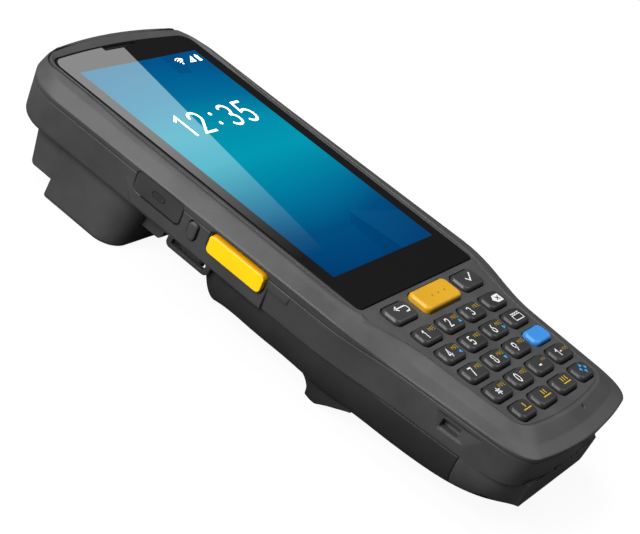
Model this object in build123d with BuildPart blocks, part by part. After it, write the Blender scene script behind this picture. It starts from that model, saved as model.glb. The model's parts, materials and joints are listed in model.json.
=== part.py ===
from build123d import *
from math import cos, pi
import os

os.makedirs("parts", exist_ok=True)

# Portable barcode data terminal, millimetres, lying on its back.
# +Y runs along the terminal towards the scanner end, +Z out of the screen, X across it.
# z = 0 is the surface it lies on. The drawing has y = 0 close to the middle of the whole;
# each file is written with the origin exactly under the middle.

# ---- face and screen -------------------------------------------------------------------------
FACE_Z = 32.2            # top of the cover glass above the surface the terminal lies on
SCREEN_W = 52.0          # lit area, 4 inch class
SCREEN_H = 88.9
SCREEN_Y = 27.0          # middle of the lit area
GLASS_SIDE = 4.5         # black border beside the lit area
GLASS_TOP = 8.6          # black border above it
GLASS_BOTTOM = 11.6      # black border below it
GLASS_T = 1.1
GLASS_BOW = 1.8          # how far the top edge of the glass bows out
GLASS_R_TOP = 4.0
GLASS_R_BOTTOM = 1.6
GLASS_GAP = 0.25         # black joint round the glass
LCD_T = 2.0
SEAL_T = 0.3
SEAL_W = 1.9

# ---- outline of the case, at its widest line, the crease -------------------------------------
CREASE_HALF = 39.6       # half width beside the screen
GRIP_HALF = 34.6         # half width at the keypad
TAIL_HALF = 32.3         # half width where the end corners start
END_HALF = 25.2          # half width where the end corners finish
TOP_Y = 85.0             # scanner end
TOP_BOW = 1.8
TOP_CORNER = 17.0        # corner radius at the crease
FLOOR_CORNER = 11.0      # and at the floor
SHOULDER_Y = -22.0       # the case starts to narrow
GRIP_Y = -50.0
TAIL_Y = -73.0
END_CORNER_Y = -84.8
END_Y = -87.2            # keypad end

# ---- crest of the rim and the valley round it, inside the crease -----------------------------
CREST_HALF = 30.2        # half width beside the screen
CREST_IN = 1.6           # from the scanner end
CREST_CORNER = 6.5
CREST_GRIP_HALF = 22.4
CREST_TAIL_HALF = 20.8
CREST_END_HALF = 15.6
CREST_END_CORNER_Y = -74.2
CREST_END_Y = -75.8
VALLEY_HALF = 34.9
VALLEY_IN = 0.6
VALLEY_CORNER = 12.0
VALLEY_GRIP_HALF = 30.4
VALLEY_TAIL_HALF = 28.5
VALLEY_END_IN = 2.6
VALLEY_END_CORNER_Y = -81.6
VALLEY_END_Y = -83.6

# ---- heights, as drops below the face --------------------------------------------------------
CREST_RISE = 1.0         # the rim at the scanner end stands above the glass by this
RIM_DROP = 0.15
PLATEAU_DROP = 0.8
VALLEY_DROP = 2.6
BEVEL_DROP = 0.7         # the bevel beside the screen steepens here
CREASE_DROP = 2.1        # beside the screen
TOP_CREASE_DROP = 3.2    # at the scanner end
GRIP_CREASE_DROP = 3.9   # beside the keypad
TAIL_CREASE_DROP = 3.5
JOIN_DROP = 4.6          # front shell and rear shell meet
COVER_DROP = 14.0        # battery cover meets the rear shell
FLOOR_DROP = 15.5        # underside of the upper case
BACK_DROP = 24.9         # back of the battery cover
SIDE_IN = 4.0            # the side wall leans in by this from crease to floor
TOP_SIDE_IN = 3.0        # and by this at the scanner end
TOP_IN = 2.4             # the scanner end leans in by this
GRIP_SIDE_IN = 2.0
FLOOR_EDGE = 2.3         # rounding of the lower edge of the case

# ---- shells ----------------------------------------------------------------------------------
WALL = 1.8
SEAM = 0.15              # gap along a visible joint
CLEAR = 0.3              # clearance round a moving piece
PLATE_T = 2.4            # front plate
PLATE_HALF = 32.0        # edge of the front plate beside the screen
PLATE_TOP = 82.4
PLATE_CORNER = 6.0
PLATE_GRIP_HALF = 25.6
PLATE_TAIL_HALF = 24.0
PLATE_END_HALF = 18.4
PLATE_END_CORNER_Y = -77.2
PLATE_END = -78.6
PLATE_JOINT = 0.05       # joint between the plate and the front shell
GROOVE_W = 0.3           # fine groove along the joint beside the screen
GROOVE_D = 0.45
LEDGE_IN = 0.5           # the plate rests on a ledge of this width round the keys
SCREEN_LEDGE = 2.4       # and of this width beside the screen

# ---- scanner hump ----------------------------------------------------------------------------
HUMP_HALF = 33.5
HUMP_BACK_Y = 34.5       # rear face of the hump
HUMP_STEP_Y = 62.0       # where the deep block ends and the nose starts
NOSE_Y = 72.5            # front of the nose under the floor
NOSE_LEAN = 2.6          # the nose front leans back by this
NOSE_IN = 1.0            # the nose is narrower than the deep block by this on each side
NOSE_DROP = 26.8
HUMP_LEAN = 3.0          # the rear face leans this much
HUMP_CORNER = 7.0
HUMP_EDGE = 1.4
LEDGE_HALF = 26.0        # low ledge behind the hump, with the camera in it
LEDGE_Y = 28.0
LEDGE_DROP = 23.8
WINDOW_W = 34.0
WINDOW_H = 6.4
WINDOW_T = 1.2
ENGINE_W = 30.0
ENGINE_L = 20.0
ENGINE_H = 8.6
CAMERA_X = -12.0
CAMERA_Y = 33.3
CAMERA_D = 5.0
CAMERA_GLASS_T = 1.0

# ---- battery, its cover and the finger ridge -------------------------------------------------
COVER_FRONT_Y = 11.4
COVER_SLOPE = 4.8        # the front face of the cover leans back by this
COVER_END_Y = -69.0      # seam between the cover and the tail
RIDGE_TIP_Y = -28.8      # lowest line of the ridge
RIDGE_HALF = 30.5
RIDGE_FLAT = 25.0
PAD_X = 20.5             # two rubber pads on the ridge's tip carry the terminal on a table
PAD_W = 7.0
PAD_L = 1.0
PAD_OUT = 0.35           # a pad stands out of the ridge by this
PAD_IN = 0.6             # and sinks into it by this
COVER_CORNER = 8.0       # width of the rounding between side and back of the cover
GRIP_CORNER = 11.0
TAIL_BACK_DROP = 21.6    # back of the tail at the keypad end
GRIP_BACK_DROP = 27.3    # back under the keypad
BATTERY_W = 56.0
BATTERY_L = 60.0
BATTERY_T = 9.0
BATTERY_Y = -26.0
BATTERY_IN = 1.0         # the battery sinks into the floor by this

# ---- keypad ----------------------------------------------------------------------------------
COLUMN_PITCH = 12.21
ROW_PITCH = 7.42
ROW_1_Y = -43.3
KEY_W = 9.6
KEY_H = 5.4
KEY_R = 1.7
KEY_TOP = 1.15           # grid keys stand above the plateau by this
KEY_GAP = 0.35
KEY_FLANGE = 0.6
TOP_KEY_Y = -34.4
TOP_KEY_X = 18.4
TOP_KEY_W = 11.2
TOP_KEY_H = 6.2
SCAN_KEY_W = 18.6
SCAN_KEY_H = 7.4
SCAN_KEY_TOP = 1.6
CORNER_KEY_W = 8.2
MAT_T = 0.5
MAT_NUB = 0.5
BOARD_T = 1.0
MAIN_BOARD_DROP = 8.6    # top of the main board
KEYPAD_BOARD_DROP = 5.3  # top of the keypad board
BOARD_HALF = 31.0
BOARD_LOW_Y = -12.0
BOARD_TOP_Y = 78.0
KEYPAD_BOARD_Y = -30.8   # upper edge of the keypad board
CHASSIS_HALF = 29.2
CHASSIS_LOW_Y = -22.0
CHASSIS_TOP_Y = 75.0
CHASSIS_T = 1.0
BATTERY_FLOOR_T = 2.2

# ---- left and right side ---------------------------------------------------------------------
POD_TOP_Y = 42.0
POD_END_Y = -13.4
POD_BLEND = 5.0          # over this length its lower end runs out into the side wall
POD_BLEND_TURN = 15.0
POD_OUT = 1.1            # the pod stands out of the leaning side wall at its lower edge
USB_L = 15.8
USB_H = 6.6
USB_Y = 28.8
USB_DROP = 6.6
USB_R = 1.7
SIDE_KEY_L = 17.9
SIDE_KEY_H = 5.4
SIDE_KEY_Y = 1.8
SIDE_KEY_DROP = 6.8
SIDE_KEY_OUT = 1.2
SIDE_KEY_R = 1.3
POWER_L = 2.7
POWER_H = 5.2
POWER_Y = 16.4
POWER_DROP = 7.8
POWER_OUT = 0.8
POWER_R = 1.1
SIDE_KEY_EDGE = 0.3      # rounding of the outer edge of a side key
SIDE_HOLE = 5.4          # depth of the side key holes
FLANGE_DEPTH = 3.1       # the flange of a side key starts this deep
FLANGE_T = 0.8
FLANGE_OUT = 0.8
FLANGE_LOW = 2.8         # the flange is lower than the key by this
SWITCH_X = 33.6          # outer end of the side switches
LUG_X = 36.5
LUG_Y = 15.1
LUG_L = 14.4
LUG_Z = 15.5
LUG_T = 1.6
LUG_BAND = 1.0
LUG_SLOT = 2.1
FOOT_IN = 30.0           # rubber foot under the floor behind each lug
FOOT_OUT = 33.5
FOOT_L = 10.4
FOOT_Y = 17.8
FOOT_Z = 13.9

# ---- fasteners -------------------------------------------------------------------------------
SCREW_D = 2.0
SCREW_HEAD_D = 3.6
SCREW_HEAD_H = 1.4
SHORT_SCREW = 6.8
LONG_SCREW = 9.2
BOSS_D = 6.0
LEG_D = 4.6
BOARD_SCREWS = ((-27, -8), (27, -8), (-23, 69), (23, 69))
BOARD_SEAT_Z = 20.7      # seat of the heads under the main board posts
CASE_SCREWS = ((-32, -16), (32, -16), (-31.4, 54), (31.4, 54))
TAIL_SCREWS = ((-24, -77), (24, -77))
CASE_SEAT_Z = 19.7
FRONT_BOSS = 2.6         # the front shell bosses reach down below the joint by this
HOOD_SCREWS = ((-29.6, 41), (29.6, 41), (-28.6, 66), (28.6, 66))
KEYPAD_POSTS = ((-20, -39), (20, -39), (-19, -72), (19, -72))
POST_D = 5.0
PLUG_D = 5.0
PLUG_H = 3.0

# ---- details of the rear shell ---------------------------------------------------------------
RECESS_D = 0.35          # shallow dish round each scan key
RECESS_EDGE = 0.9
COVER_T = 1.4            # thickness of the socket cover
SOCKET_L = 9.0
SOCKET_H = 3.2
SOCKET_X = 35.6          # mouth of the socket
SOCKET_END_X = 27.5
SOCKET_HOLE_L = 12.4
SOCKET_HOLE_H = 4.2
COVER_PLUG_L = 8.2
COVER_PLUG_H = 2.6
COVER_PLUG_T = 1.2
SCOOP_FRONT_Y = -58.6    # scooped lanyard anchor in each side of the grip
SCOOP_END_Y = -79.0
SCOOP_DEPTH = 1.3
SCOOP_HIGH_DROP = 6.0
SCOOP_LOW_DROP = 10.5
SLOT_Y = -63.7
SLOT_L = 5.2
SLOT_H = 2.4
SLOT_DROP = 8.9
SLOT_END_X = 29.4        # bottom of the slot
SLOT_BLOCK_X = 27.6      # inner side of the block it is cut into
SLOT_BLOCK_L = 7.6
PORT_W = 48.0            # port from the case down into the scanner hump
PORT_L = 20.0
PORT_Y = 53.0
SPEAKER_W = 20.0
SPEAKER_L = 9.0
SPEAKER_T = 3.2
SPEAKER_Y = -77.0
SPEAKER_Z = 11.6
SPEAKER_PITCH = 2.8
NOTCH_W = 5.0
NOTCH_H = 1.4
NOTCH_DROP = 6.2
CONTACTS = 5
CONTACT_PITCH = 3.4
CONTACT_DROP = 13.0
CONTACT_D = 1.8
TAB_X = 10.0             # hook tabs of the battery cover
TAB_W = 8.0
TAB_T = 1.4
TAB_Z = 9.2
TAB_REACH = 4.0
COVER_GAP = 0.4          # joint at the front of the battery cover

LOW = (Align.CENTER, Align.CENTER, Align.MIN)
MIDDLE_Y = (TOP_Y + END_Y) / 2


def save(piece, name):
    """Write one piece, moved so that the origin is under the middle of the whole."""
    moved = Pos(0, -MIDDLE_Y, 0) * piece
    moved.label = name
    export_step(moved, "parts/" + name + ".step")


# ---- heights worked out from the drops -------------------------------------------------------
CREST_Z = FACE_Z + CREST_RISE
RIM_Z = FACE_Z - RIM_DROP
PLATEAU_Z = FACE_Z - PLATEAU_DROP
VALLEY_Z = FACE_Z - VALLEY_DROP
BEVEL_Z = FACE_Z - BEVEL_DROP
JOIN_Z = FACE_Z - JOIN_DROP
COVER_Z = FACE_Z - COVER_DROP
FLOOR_Z = FACE_Z - FLOOR_DROP
PLATE_Z = FACE_Z - RIM_DROP - PLATE_T
GLASS_TOP_Y = SCREEN_Y + SCREEN_H / 2 + GLASS_TOP
GLASS_LOW_Y = SCREEN_Y - SCREEN_H / 2 - GLASS_BOTTOM
GLASS_HALF = SCREEN_W / 2 + GLASS_SIDE
GLASS_BED_Z = FACE_Z - GLASS_T - SEAL_T
LCD_W = SCREEN_W + 4.0
LCD_H = SCREEN_H + 6.1
LCD_Z = FACE_Z - GLASS_T - 0.05 - LCD_T
CHASSIS_Z = LCD_Z - 0.1 - CHASSIS_T
MAIN_BOARD_Z = FACE_Z - MAIN_BOARD_DROP - BOARD_T
KEYPAD_BOARD_Z = FACE_Z - KEYPAD_BOARD_DROP - BOARD_T
NOSE_Z = FACE_Z - NOSE_DROP
LEDGE_Z = FACE_Z - LEDGE_DROP
UPPER_FLOOR_IN = FLOOR_Z + WALL
BATTERY_FLOOR_IN = COVER_Z + BATTERY_FLOOR_T
BOSS_Z = JOIN_Z - FRONT_BOSS
BATTERY_Z = COVER_Z + BATTERY_IN - BATTERY_T


def ring(half, top, corner, grip, tail, end_half, end_corner, end, z, z_grip, z_tail, z_top, splay=0.0):
    """Closed outline of the case at one level, with its own height at each end, screen and grip."""
    top_half = half + splay
    near = top - TOP_BOW
    b = Vector(top_half - corner, near, z_top)
    c = Vector(top_half, near - corner, z_top)
    mid = Vector(top_half - corner * (1 - cos(pi / 4)), near - corner * (1 - cos(pi / 4)), z_top)
    d = Vector(half, SHOULDER_Y, z)
    e = Vector(grip, GRIP_Y, z_grip)
    f = Vector(tail, TAIL_Y, z_tail)
    g = Vector(end_half, end_corner, z_tail)
    run = (f - e).normalized()
    turn = Vector(-1.0, -0.22, 0).normalized()

    def flip(v):
        return Vector(-v.X, v.Y, v.Z)

    with BuildLine() as line:
        ThreePointArc(flip(b), Vector(0, top, z_top), b)
        ThreePointArc(b, mid, c)
        Line(c, d)
        Spline(d, e, tangents=(Vector(0, -1, 0), run))
        Line(e, f)
        Spline(f, g, tangents=(run, turn))
        ThreePointArc(g, Vector(0, end, z_tail), flip(g))
        Spline(flip(g), flip(f), tangents=(-flip(turn), -flip(run)))
        Line(flip(f), flip(e))
        Spline(flip(e), flip(d), tangents=(-flip(run), Vector(0, 1, 0)))
        Line(flip(d), flip(c))
        ThreePointArc(flip(c), flip(mid), flip(b))
    return line.wires()[0]


def case_ring(share, z, z_grip, z_tail, z_top, inset=0.0):
    """Outline between the crease (share 0) and the floor (share 1) of the side wall, inset if hollow."""
    lean = SIDE_IN * share + inset
    grip_lean = GRIP_SIDE_IN * share + inset
    return ring(
        CREASE_HALF - lean,
        TOP_Y - TOP_IN * share - inset,
        TOP_CORNER - (TOP_CORNER - FLOOR_CORNER) * share - inset * 0.5,
        GRIP_HALF - grip_lean,
        TAIL_HALF - grip_lean,
        END_HALF - grip_lean,
        END_CORNER_Y + grip_lean * 0.8,
        END_Y + grip_lean * 0.9,
        z,
        z_grip,
        z_tail,
        z_top,
        (SIDE_IN - TOP_SIDE_IN) * share,
    )


def level_ring(share, z, inset=0.0):
    """The same outline with all of it at one height."""
    return case_ring(share, z, z, z, z, inset)


def plate_ring(gap, z):
    """Edge of the front plate, grown by a gap, at height z."""
    return ring(
        PLATE_HALF + gap,
        PLATE_TOP + gap,
        PLATE_CORNER,
        PLATE_GRIP_HALF + gap,
        PLATE_TAIL_HALF + gap,
        PLATE_END_HALF + gap,
        PLATE_END_CORNER_Y - gap,
        PLATE_END - gap,
        z,
        z,
        z,
        z,
    )


def face_profile():
    """Everything above the face line, seen from the side: crest, rim, ramp and plateau."""
    rim_start = (SCREEN_Y + 20, RIM_Z)
    with BuildSketch(Plane.YZ) as profile:
        with BuildLine():
            crest = Line((TOP_Y + 5, CREST_Z), (GLASS_TOP_Y, CREST_Z))
            Spline(crest @ 1, rim_start, tangents=((-1, 0), (-1, 0)))
            Polyline(
                rim_start,
                (GLASS_LOW_Y - 1.2, RIM_Z),
                (GLASS_LOW_Y - 3.0, PLATEAU_Z),
                (END_Y - 5, PLATEAU_Z),
                (END_Y - 5, CREST_Z + 5),
                (TOP_Y + 5, CREST_Z + 5),
                (TOP_Y + 5, CREST_Z),
            )
        make_face()
    return profile.sketch


def glass_outline(grow, z):
    """Outline of the cover glass at height z, grown by a gap."""
    with BuildSketch(Plane.XY.offset(z)) as outline:
        with BuildLine():
            Polyline(
                (-GLASS_HALF, GLASS_TOP_Y - GLASS_BOW),
                (-GLASS_HALF, GLASS_LOW_Y),
                (GLASS_HALF, GLASS_LOW_Y),
                (GLASS_HALF, GLASS_TOP_Y - GLASS_BOW),
            )
            ThreePointArc(
                (GLASS_HALF, GLASS_TOP_Y - GLASS_BOW),
                (0, GLASS_TOP_Y),
                (-GLASS_HALF, GLASS_TOP_Y - GLASS_BOW),
            )
        make_face()
        fillet(outline.vertices().group_by(Axis.Y)[-1], GLASS_R_TOP)
        fillet(outline.vertices().group_by(Axis.Y)[0], GLASS_R_BOTTOM)
        if grow:
            offset(amount=grow)
    return outline.sketch


# ---- side walls ------------------------------------------------------------------------------
POD_LOW_Z = COVER_Z + 0.1
WALL_SLOPE = SIDE_IN / (FLOOR_DROP - CREASE_DROP)
POD_DROP = CREASE_DROP + 0.9    # the pod starts this far below the face, just under the crease
POD_HIGH_HALF = CREASE_HALF - WALL_SLOPE * (POD_DROP - CREASE_DROP) - 0.1
POD_LOW_HALF = CREASE_HALF - WALL_SLOPE * (FACE_Z - CREASE_DROP - POD_LOW_Z) + POD_OUT
POD_SLOPE = (POD_HIGH_HALF - POD_LOW_HALF) / (FACE_Z - POD_DROP - POD_LOW_Z)


def pod_shape(side):
    """Raised wall round the side keys: its cross section, kept to its rounded side view."""
    top_z = FACE_Z - POD_DROP
    with BuildPart() as pod:
        with BuildSketch(Plane.XZ.offset(-POD_TOP_Y - 3)):
            with BuildLine():
                Polyline(
                    (side * POD_HIGH_HALF, top_z),
                    (side * POD_LOW_HALF, POD_LOW_Z),
                    (side * (POD_LOW_HALF - 6), POD_LOW_Z),
                    (side * (POD_LOW_HALF - 6), top_z),
                    close=True,
                )
            make_face()
        extrude(amount=POD_TOP_Y + 3 - (POD_END_Y - 3))
        with BuildSketch(Plane.YZ) as side_view:
            with BuildLine():
                Polyline(
                    (POD_TOP_Y + 2, top_z),
                    (POD_TOP_Y - 6, POD_LOW_Z),
                    (POD_END_Y, POD_LOW_Z),
                    (POD_END_Y - 2, top_z),
                    close=True,
                )
            make_face()
            fillet(side_view.vertices().group_by(Axis.Y)[0].sort_by(Axis.X)[0], 5.0)
        extrude(amount=CREASE_HALF + 5, both=True, mode=Mode.INTERSECT)
        run_out = side_plane(side, POD_END_Y + POD_BLEND, SIDE_KEY_DROP).rotated((0, -POD_BLEND_TURN, 0))
        with BuildSketch(run_out):
            with Locations((-POD_BLEND * 2, 0)):
                Rectangle(POD_BLEND * 4, FACE_Z)
        extrude(amount=POD_BLEND, mode=Mode.SUBTRACT)
    return pod.part


def side_plane(side, y, drop, out=0.0):
    """Plane on the pod wall at y and a drop below the face: local x along +Y, local z outwards."""
    half = POD_HIGH_HALF - POD_SLOPE * (drop - POD_DROP)
    outward = Vector(side, 0, -POD_SLOPE).normalized()
    spot = Vector(side * half, y, FACE_Z - drop) + outward * out
    return Plane(origin=spot, x_dir=(0, 1, 0), z_dir=outward)


# ---- the whole outside of the case, from the rim down to its floor ---------------------------
cap = ring(
    CREST_HALF,
    TOP_Y - CREST_IN,
    CREST_CORNER,
    CREST_GRIP_HALF,
    CREST_TAIL_HALF,
    CREST_END_HALF,
    CREST_END_CORNER_Y,
    CREST_END_Y,
    CREST_Z,
    CREST_Z,
    CREST_Z,
    CREST_Z,
)
valley = ring(
    VALLEY_HALF,
    TOP_Y - VALLEY_IN,
    VALLEY_CORNER,
    VALLEY_GRIP_HALF,
    VALLEY_TAIL_HALF,
    END_HALF - VALLEY_END_IN,
    VALLEY_END_CORNER_Y,
    VALLEY_END_Y,
    BEVEL_Z,
    VALLEY_Z,
    VALLEY_Z,
    BEVEL_Z,
)
crease = case_ring(
    0.0,
    FACE_Z - CREASE_DROP,
    FACE_Z - GRIP_CREASE_DROP,
    FACE_Z - TAIL_CREASE_DROP,
    FACE_Z - TOP_CREASE_DROP,
)
floor = level_ring(1.0, FLOOR_Z)

with BuildPart() as case:
    add(Solid.make_loft([cap, valley, crease, floor], ruled=True))
    fillet(case.edges().group_by(Axis.Z)[0], FLOOR_EDGE)
    for side in (-1, 1):
        add(pod_shape(side))
    extrude(face_profile(), amount=CREASE_HALF + 5, both=True, mode=Mode.SUBTRACT)

# inside of the case, between the floor and the front shell
inner_share = (FACE_Z - CREASE_DROP - JOIN_Z) / (FLOOR_DROP - CREASE_DROP)
inner_top = level_ring(inner_share, JOIN_Z, WALL)
inner_low = level_ring(1.0, UPPER_FLOOR_IN, WALL)
cavity = Solid.make_loft([inner_top, inner_low], ruled=True)


# ---- back of the lower case: battery cover and tail ------------------------------------------
def cover_half(y):
    """Half width of the lower case at the height where the cover meets it."""
    share = (COVER_DROP - CREASE_DROP) / (FLOOR_DROP - CREASE_DROP)
    wide = CREASE_HALF - SIDE_IN * share
    grip = GRIP_HALF - GRIP_SIDE_IN * share
    tail = TAIL_HALF - GRIP_SIDE_IN * share
    if y > SHOULDER_Y:
        return wide - 0.6
    if y > GRIP_Y:
        turn = (1 - cos(pi * (SHOULDER_Y - y) / (SHOULDER_Y - GRIP_Y))) / 2
        return wide - 0.6 * (1 - turn) - (wide - grip) * turn
    return grip - (grip - tail) * (GRIP_Y - y) / (GRIP_Y - TAIL_Y)


TAIL_END_Y = END_Y + 1.95
TAIL_END_HALF = 20.2
TAIL_CORNER = 1.6
back_stations = (
    # y, half width, corner width, drop of the back
    (COVER_FRONT_Y, cover_half(COVER_FRONT_Y), COVER_CORNER, BACK_DROP),
    (3.0, cover_half(3.0), COVER_CORNER, BACK_DROP),
    (-6.0, cover_half(-6.0), COVER_CORNER, BACK_DROP),
    (-14.0, cover_half(-14.0), COVER_CORNER, BACK_DROP),
    (SHOULDER_Y, cover_half(SHOULDER_Y), COVER_CORNER, BACK_DROP + 0.1),
    (-29.0, cover_half(-29.0), COVER_CORNER + 1, BACK_DROP + 1.1),
    (-36.0, cover_half(-36.0), GRIP_CORNER - 1, GRIP_BACK_DROP - 0.5),
    (-43.0, cover_half(-43.0), GRIP_CORNER, GRIP_BACK_DROP),
    (GRIP_Y, cover_half(GRIP_Y), GRIP_CORNER, GRIP_BACK_DROP),
    (-58.0, cover_half(-58.0), GRIP_CORNER, GRIP_BACK_DROP),
    (-66.0, cover_half(-66.0), GRIP_CORNER, GRIP_BACK_DROP - 0.5),
    (TAIL_Y, cover_half(TAIL_Y), GRIP_CORNER - 0.5, GRIP_BACK_DROP - 2.0),
    (-79.0, 28.5, GRIP_CORNER - 1.8, GRIP_BACK_DROP - 3.9),
    (-83.0, 23.6, TAIL_CORNER + 3.8, GRIP_BACK_DROP - 4.9),
    (TAIL_END_Y, TAIL_END_HALF, TAIL_CORNER, TAIL_BACK_DROP),
)


def back_section(y, half, corner, drop, inset):
    """One cross section of the back: flat top at the cover joint, elliptical corners, flat back."""
    wide = half - inset
    low = FACE_Z - drop + inset
    flat = half - max(corner, inset + 0.5)
    with BuildSketch(Plane.XZ.offset(-y)) as section:
        with BuildLine():
            Line((-wide, COVER_Z), (wide, COVER_Z))
            EllipticalCenterArc((flat, COVER_Z), wide - flat, COVER_Z - low, start_angle=270, arc_size=90)
            Line((flat, low), (-flat, low))
            EllipticalCenterArc((-flat, COVER_Z), wide - flat, COVER_Z - low, start_angle=180, arc_size=90)
        make_face()
    return section.sketch.faces()[0]


def back_shape(inset):
    """The whole back, from the front of the cover to the end of the tail."""
    return loft([back_section(*station, inset) for station in back_stations], mode=Mode.PRIVATE)


def cover_front(inset):
    """Side view of the part of the back behind the leaning front face of the cover."""
    front = COVER_FRONT_Y - inset
    low = FACE_Z - BACK_DROP
    with BuildSketch(Plane.YZ) as view:
        with BuildLine():
            Polyline(
                (front, COVER_Z + 1),
                (front - COVER_SLOPE, low),
                (front - COVER_SLOPE - 3, -2),
                (END_Y - 5, -2),
                (END_Y - 5, COVER_Z + 1),
                close=True,
            )
        make_face()
        fillet(view.vertices().sort_by(Axis.Y)[2], 2.5)
    return view.sketch


def ridge_side():
    """Side view of the finger ridge, hooked towards the scanner end, sloping to the keypad end."""
    tip = RIDGE_TIP_Y
    root = FACE_Z - BACK_DROP
    with BuildSketch(Plane.YZ) as view:
        with BuildLine():
            front = Spline(
                (tip + 8.5, root + 0.4),
                (tip + 4.3, root - 0.5),
                (tip + 2.7, root - 2.6),
                (tip + 2.5, root - 5.7),
                tangents=((-1, -0.02), (0, -1)),
            )
            lip = Line(front @ 1, (tip, 0))
            slope = Spline(
                lip @ 1,
                (tip - 2.6, 2.2),
                (tip - 4.9, 3.8),
                (tip - 7.2, 5.1),
                (tip - 11.0, root - 0.2),
                tangents=((-1, 0.85), (-1, 0.4)),
            )
            Polyline(slope @ 1, (tip - 11.0, COVER_Z), (tip + 8.5, COVER_Z), front @ 0)
        make_face()
    return view.sketch


def ridge_room_side():
    """Side view of the hollow in the ridge, a wall thickness inside it."""
    tip = RIDGE_TIP_Y
    root = FACE_Z - BACK_DROP + WALL
    with BuildSketch(Plane.YZ) as view:
        with BuildLine():
            Polyline(
                (tip + 8.5, root + 0.4),
                (tip + 3.2, root - 0.8),
                (tip + 1.7, root - 2.6),
                (tip + 0.9, root - 4.1),
                (tip + 0.6, root - 6.6),
                (tip - 1.7, root - 5.3),
                (tip - 4.0, root - 3.7),
                (tip - 6.4, root - 2.3),
                (tip - 10.2, root - 0.4),
                (tip - 10.2, COVER_Z),
                (tip + 8.5, COVER_Z),
                close=True,
            )
        make_face()
    return view.sketch


def ridge_shape(side_view, inset):
    """Ridge or its hollow: a side view drawn out across the terminal and kept to an arch."""
    curve = RIDGE_HALF - RIDGE_FLAT - inset
    deep = COVER_Z - inset
    with BuildPart() as ridge:
        extrude(side_view, amount=CREASE_HALF, both=True)
        with BuildSketch(Plane.XZ):
            with BuildLine():
                Line((-RIDGE_HALF + inset, COVER_Z), (RIDGE_HALF - inset, COVER_Z))
                EllipticalCenterArc((RIDGE_FLAT, COVER_Z), curve, deep, start_angle=270, arc_size=90)
                Line((RIDGE_FLAT, inset), (-RIDGE_FLAT, inset))
                EllipticalCenterArc((-RIDGE_FLAT, COVER_Z), curve, deep, start_angle=180, arc_size=90)
            make_face()
        extrude(amount=CREASE_HALF * 3, both=True, mode=Mode.INTERSECT)
    return ridge.part


# ---- holes for the keys ----------------------------------------------------------------------
def key_spots():
    """Every key of the keypad: name, middle, width, height, how far it stands out."""
    spots = [
        ("key_back", -TOP_KEY_X, TOP_KEY_Y, TOP_KEY_W, TOP_KEY_H, KEY_TOP),
        ("key_scan", 0.0, TOP_KEY_Y, SCAN_KEY_W, SCAN_KEY_H, SCAN_KEY_TOP),
        ("key_ok", TOP_KEY_X, TOP_KEY_Y, TOP_KEY_W, TOP_KEY_H, KEY_TOP),
    ]
    rows = (
        ("key_1", "key_2", "key_3", "key_erase"),
        ("key_4", "key_5", "key_6", "key_menu"),
        ("key_7", "key_8", "key_9", "key_blue"),
        ("key_star", "key_0", "key_dash", "key_shift"),
        ("key_f1", "key_f2", "key_f3", "key_arrows"),
    )
    for row, names in enumerate(rows):
        for column, name in enumerate(names):
            x = (column - 1.5) * COLUMN_PITCH
            y = ROW_1_Y - row * ROW_PITCH
            width = KEY_W
            if row == len(rows) - 1 and column in (0, 3):
                width = CORNER_KEY_W
                x += (KEY_W - CORNER_KEY_W) / 2 * (1 if column == 0 else -1)
            spots.append((name, x, y, width, KEY_H, KEY_TOP))
    return spots


# ---- openings in the side walls --------------------------------------------------------------
SIDE_KEYS = (
    # name, side, middle, drop, length, height, corner radius, how far it stands out
    ("scan_button_left", -1, SIDE_KEY_Y, SIDE_KEY_DROP, SIDE_KEY_L, SIDE_KEY_H, SIDE_KEY_R, SIDE_KEY_OUT),
    ("scan_button_right", 1, SIDE_KEY_Y, SIDE_KEY_DROP, SIDE_KEY_L, SIDE_KEY_H, SIDE_KEY_R, SIDE_KEY_OUT),
    ("power_button", -1, POWER_Y, POWER_DROP, POWER_L, POWER_H, POWER_R, POWER_OUT),
)
OUTSIDE = 3.0            # the cutters start this far outside the wall

with BuildPart() as side_openings:
    for name, side, y, drop, length, height, corner, out in SIDE_KEYS:
        with BuildSketch(side_plane(side, y, drop, OUTSIDE)):
            RectangleRounded(length + 2 * KEY_GAP, height + 2 * KEY_GAP, corner + KEY_GAP)
        extrude(amount=-OUTSIDE - SIDE_HOLE)
    for side in (-1, 1):
        with BuildSketch(side_plane(side, SIDE_KEY_Y, SIDE_KEY_DROP, OUTSIDE)):
            RectangleRounded(
                SIDE_KEY_L + 2 * RECESS_EDGE, SIDE_KEY_H + 2 * RECESS_EDGE, SIDE_KEY_R + RECESS_EDGE
            )
        extrude(amount=-OUTSIDE - RECESS_D)
    # bed of the socket cover and the hole for the socket
    with BuildSketch(side_plane(-1, USB_Y, USB_DROP, OUTSIDE)):
        RectangleRounded(USB_L + 2 * SEAM, USB_H + 2 * SEAM, USB_R + SEAM)
    extrude(amount=-OUTSIDE - COVER_T - SEAM)
    with BuildSketch(side_plane(-1, USB_Y, USB_DROP, OUTSIDE)):
        RectangleRounded(SOCKET_HOLE_L, SOCKET_HOLE_H, 1.4)
    extrude(amount=-OUTSIDE - SIDE_HOLE)


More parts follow.
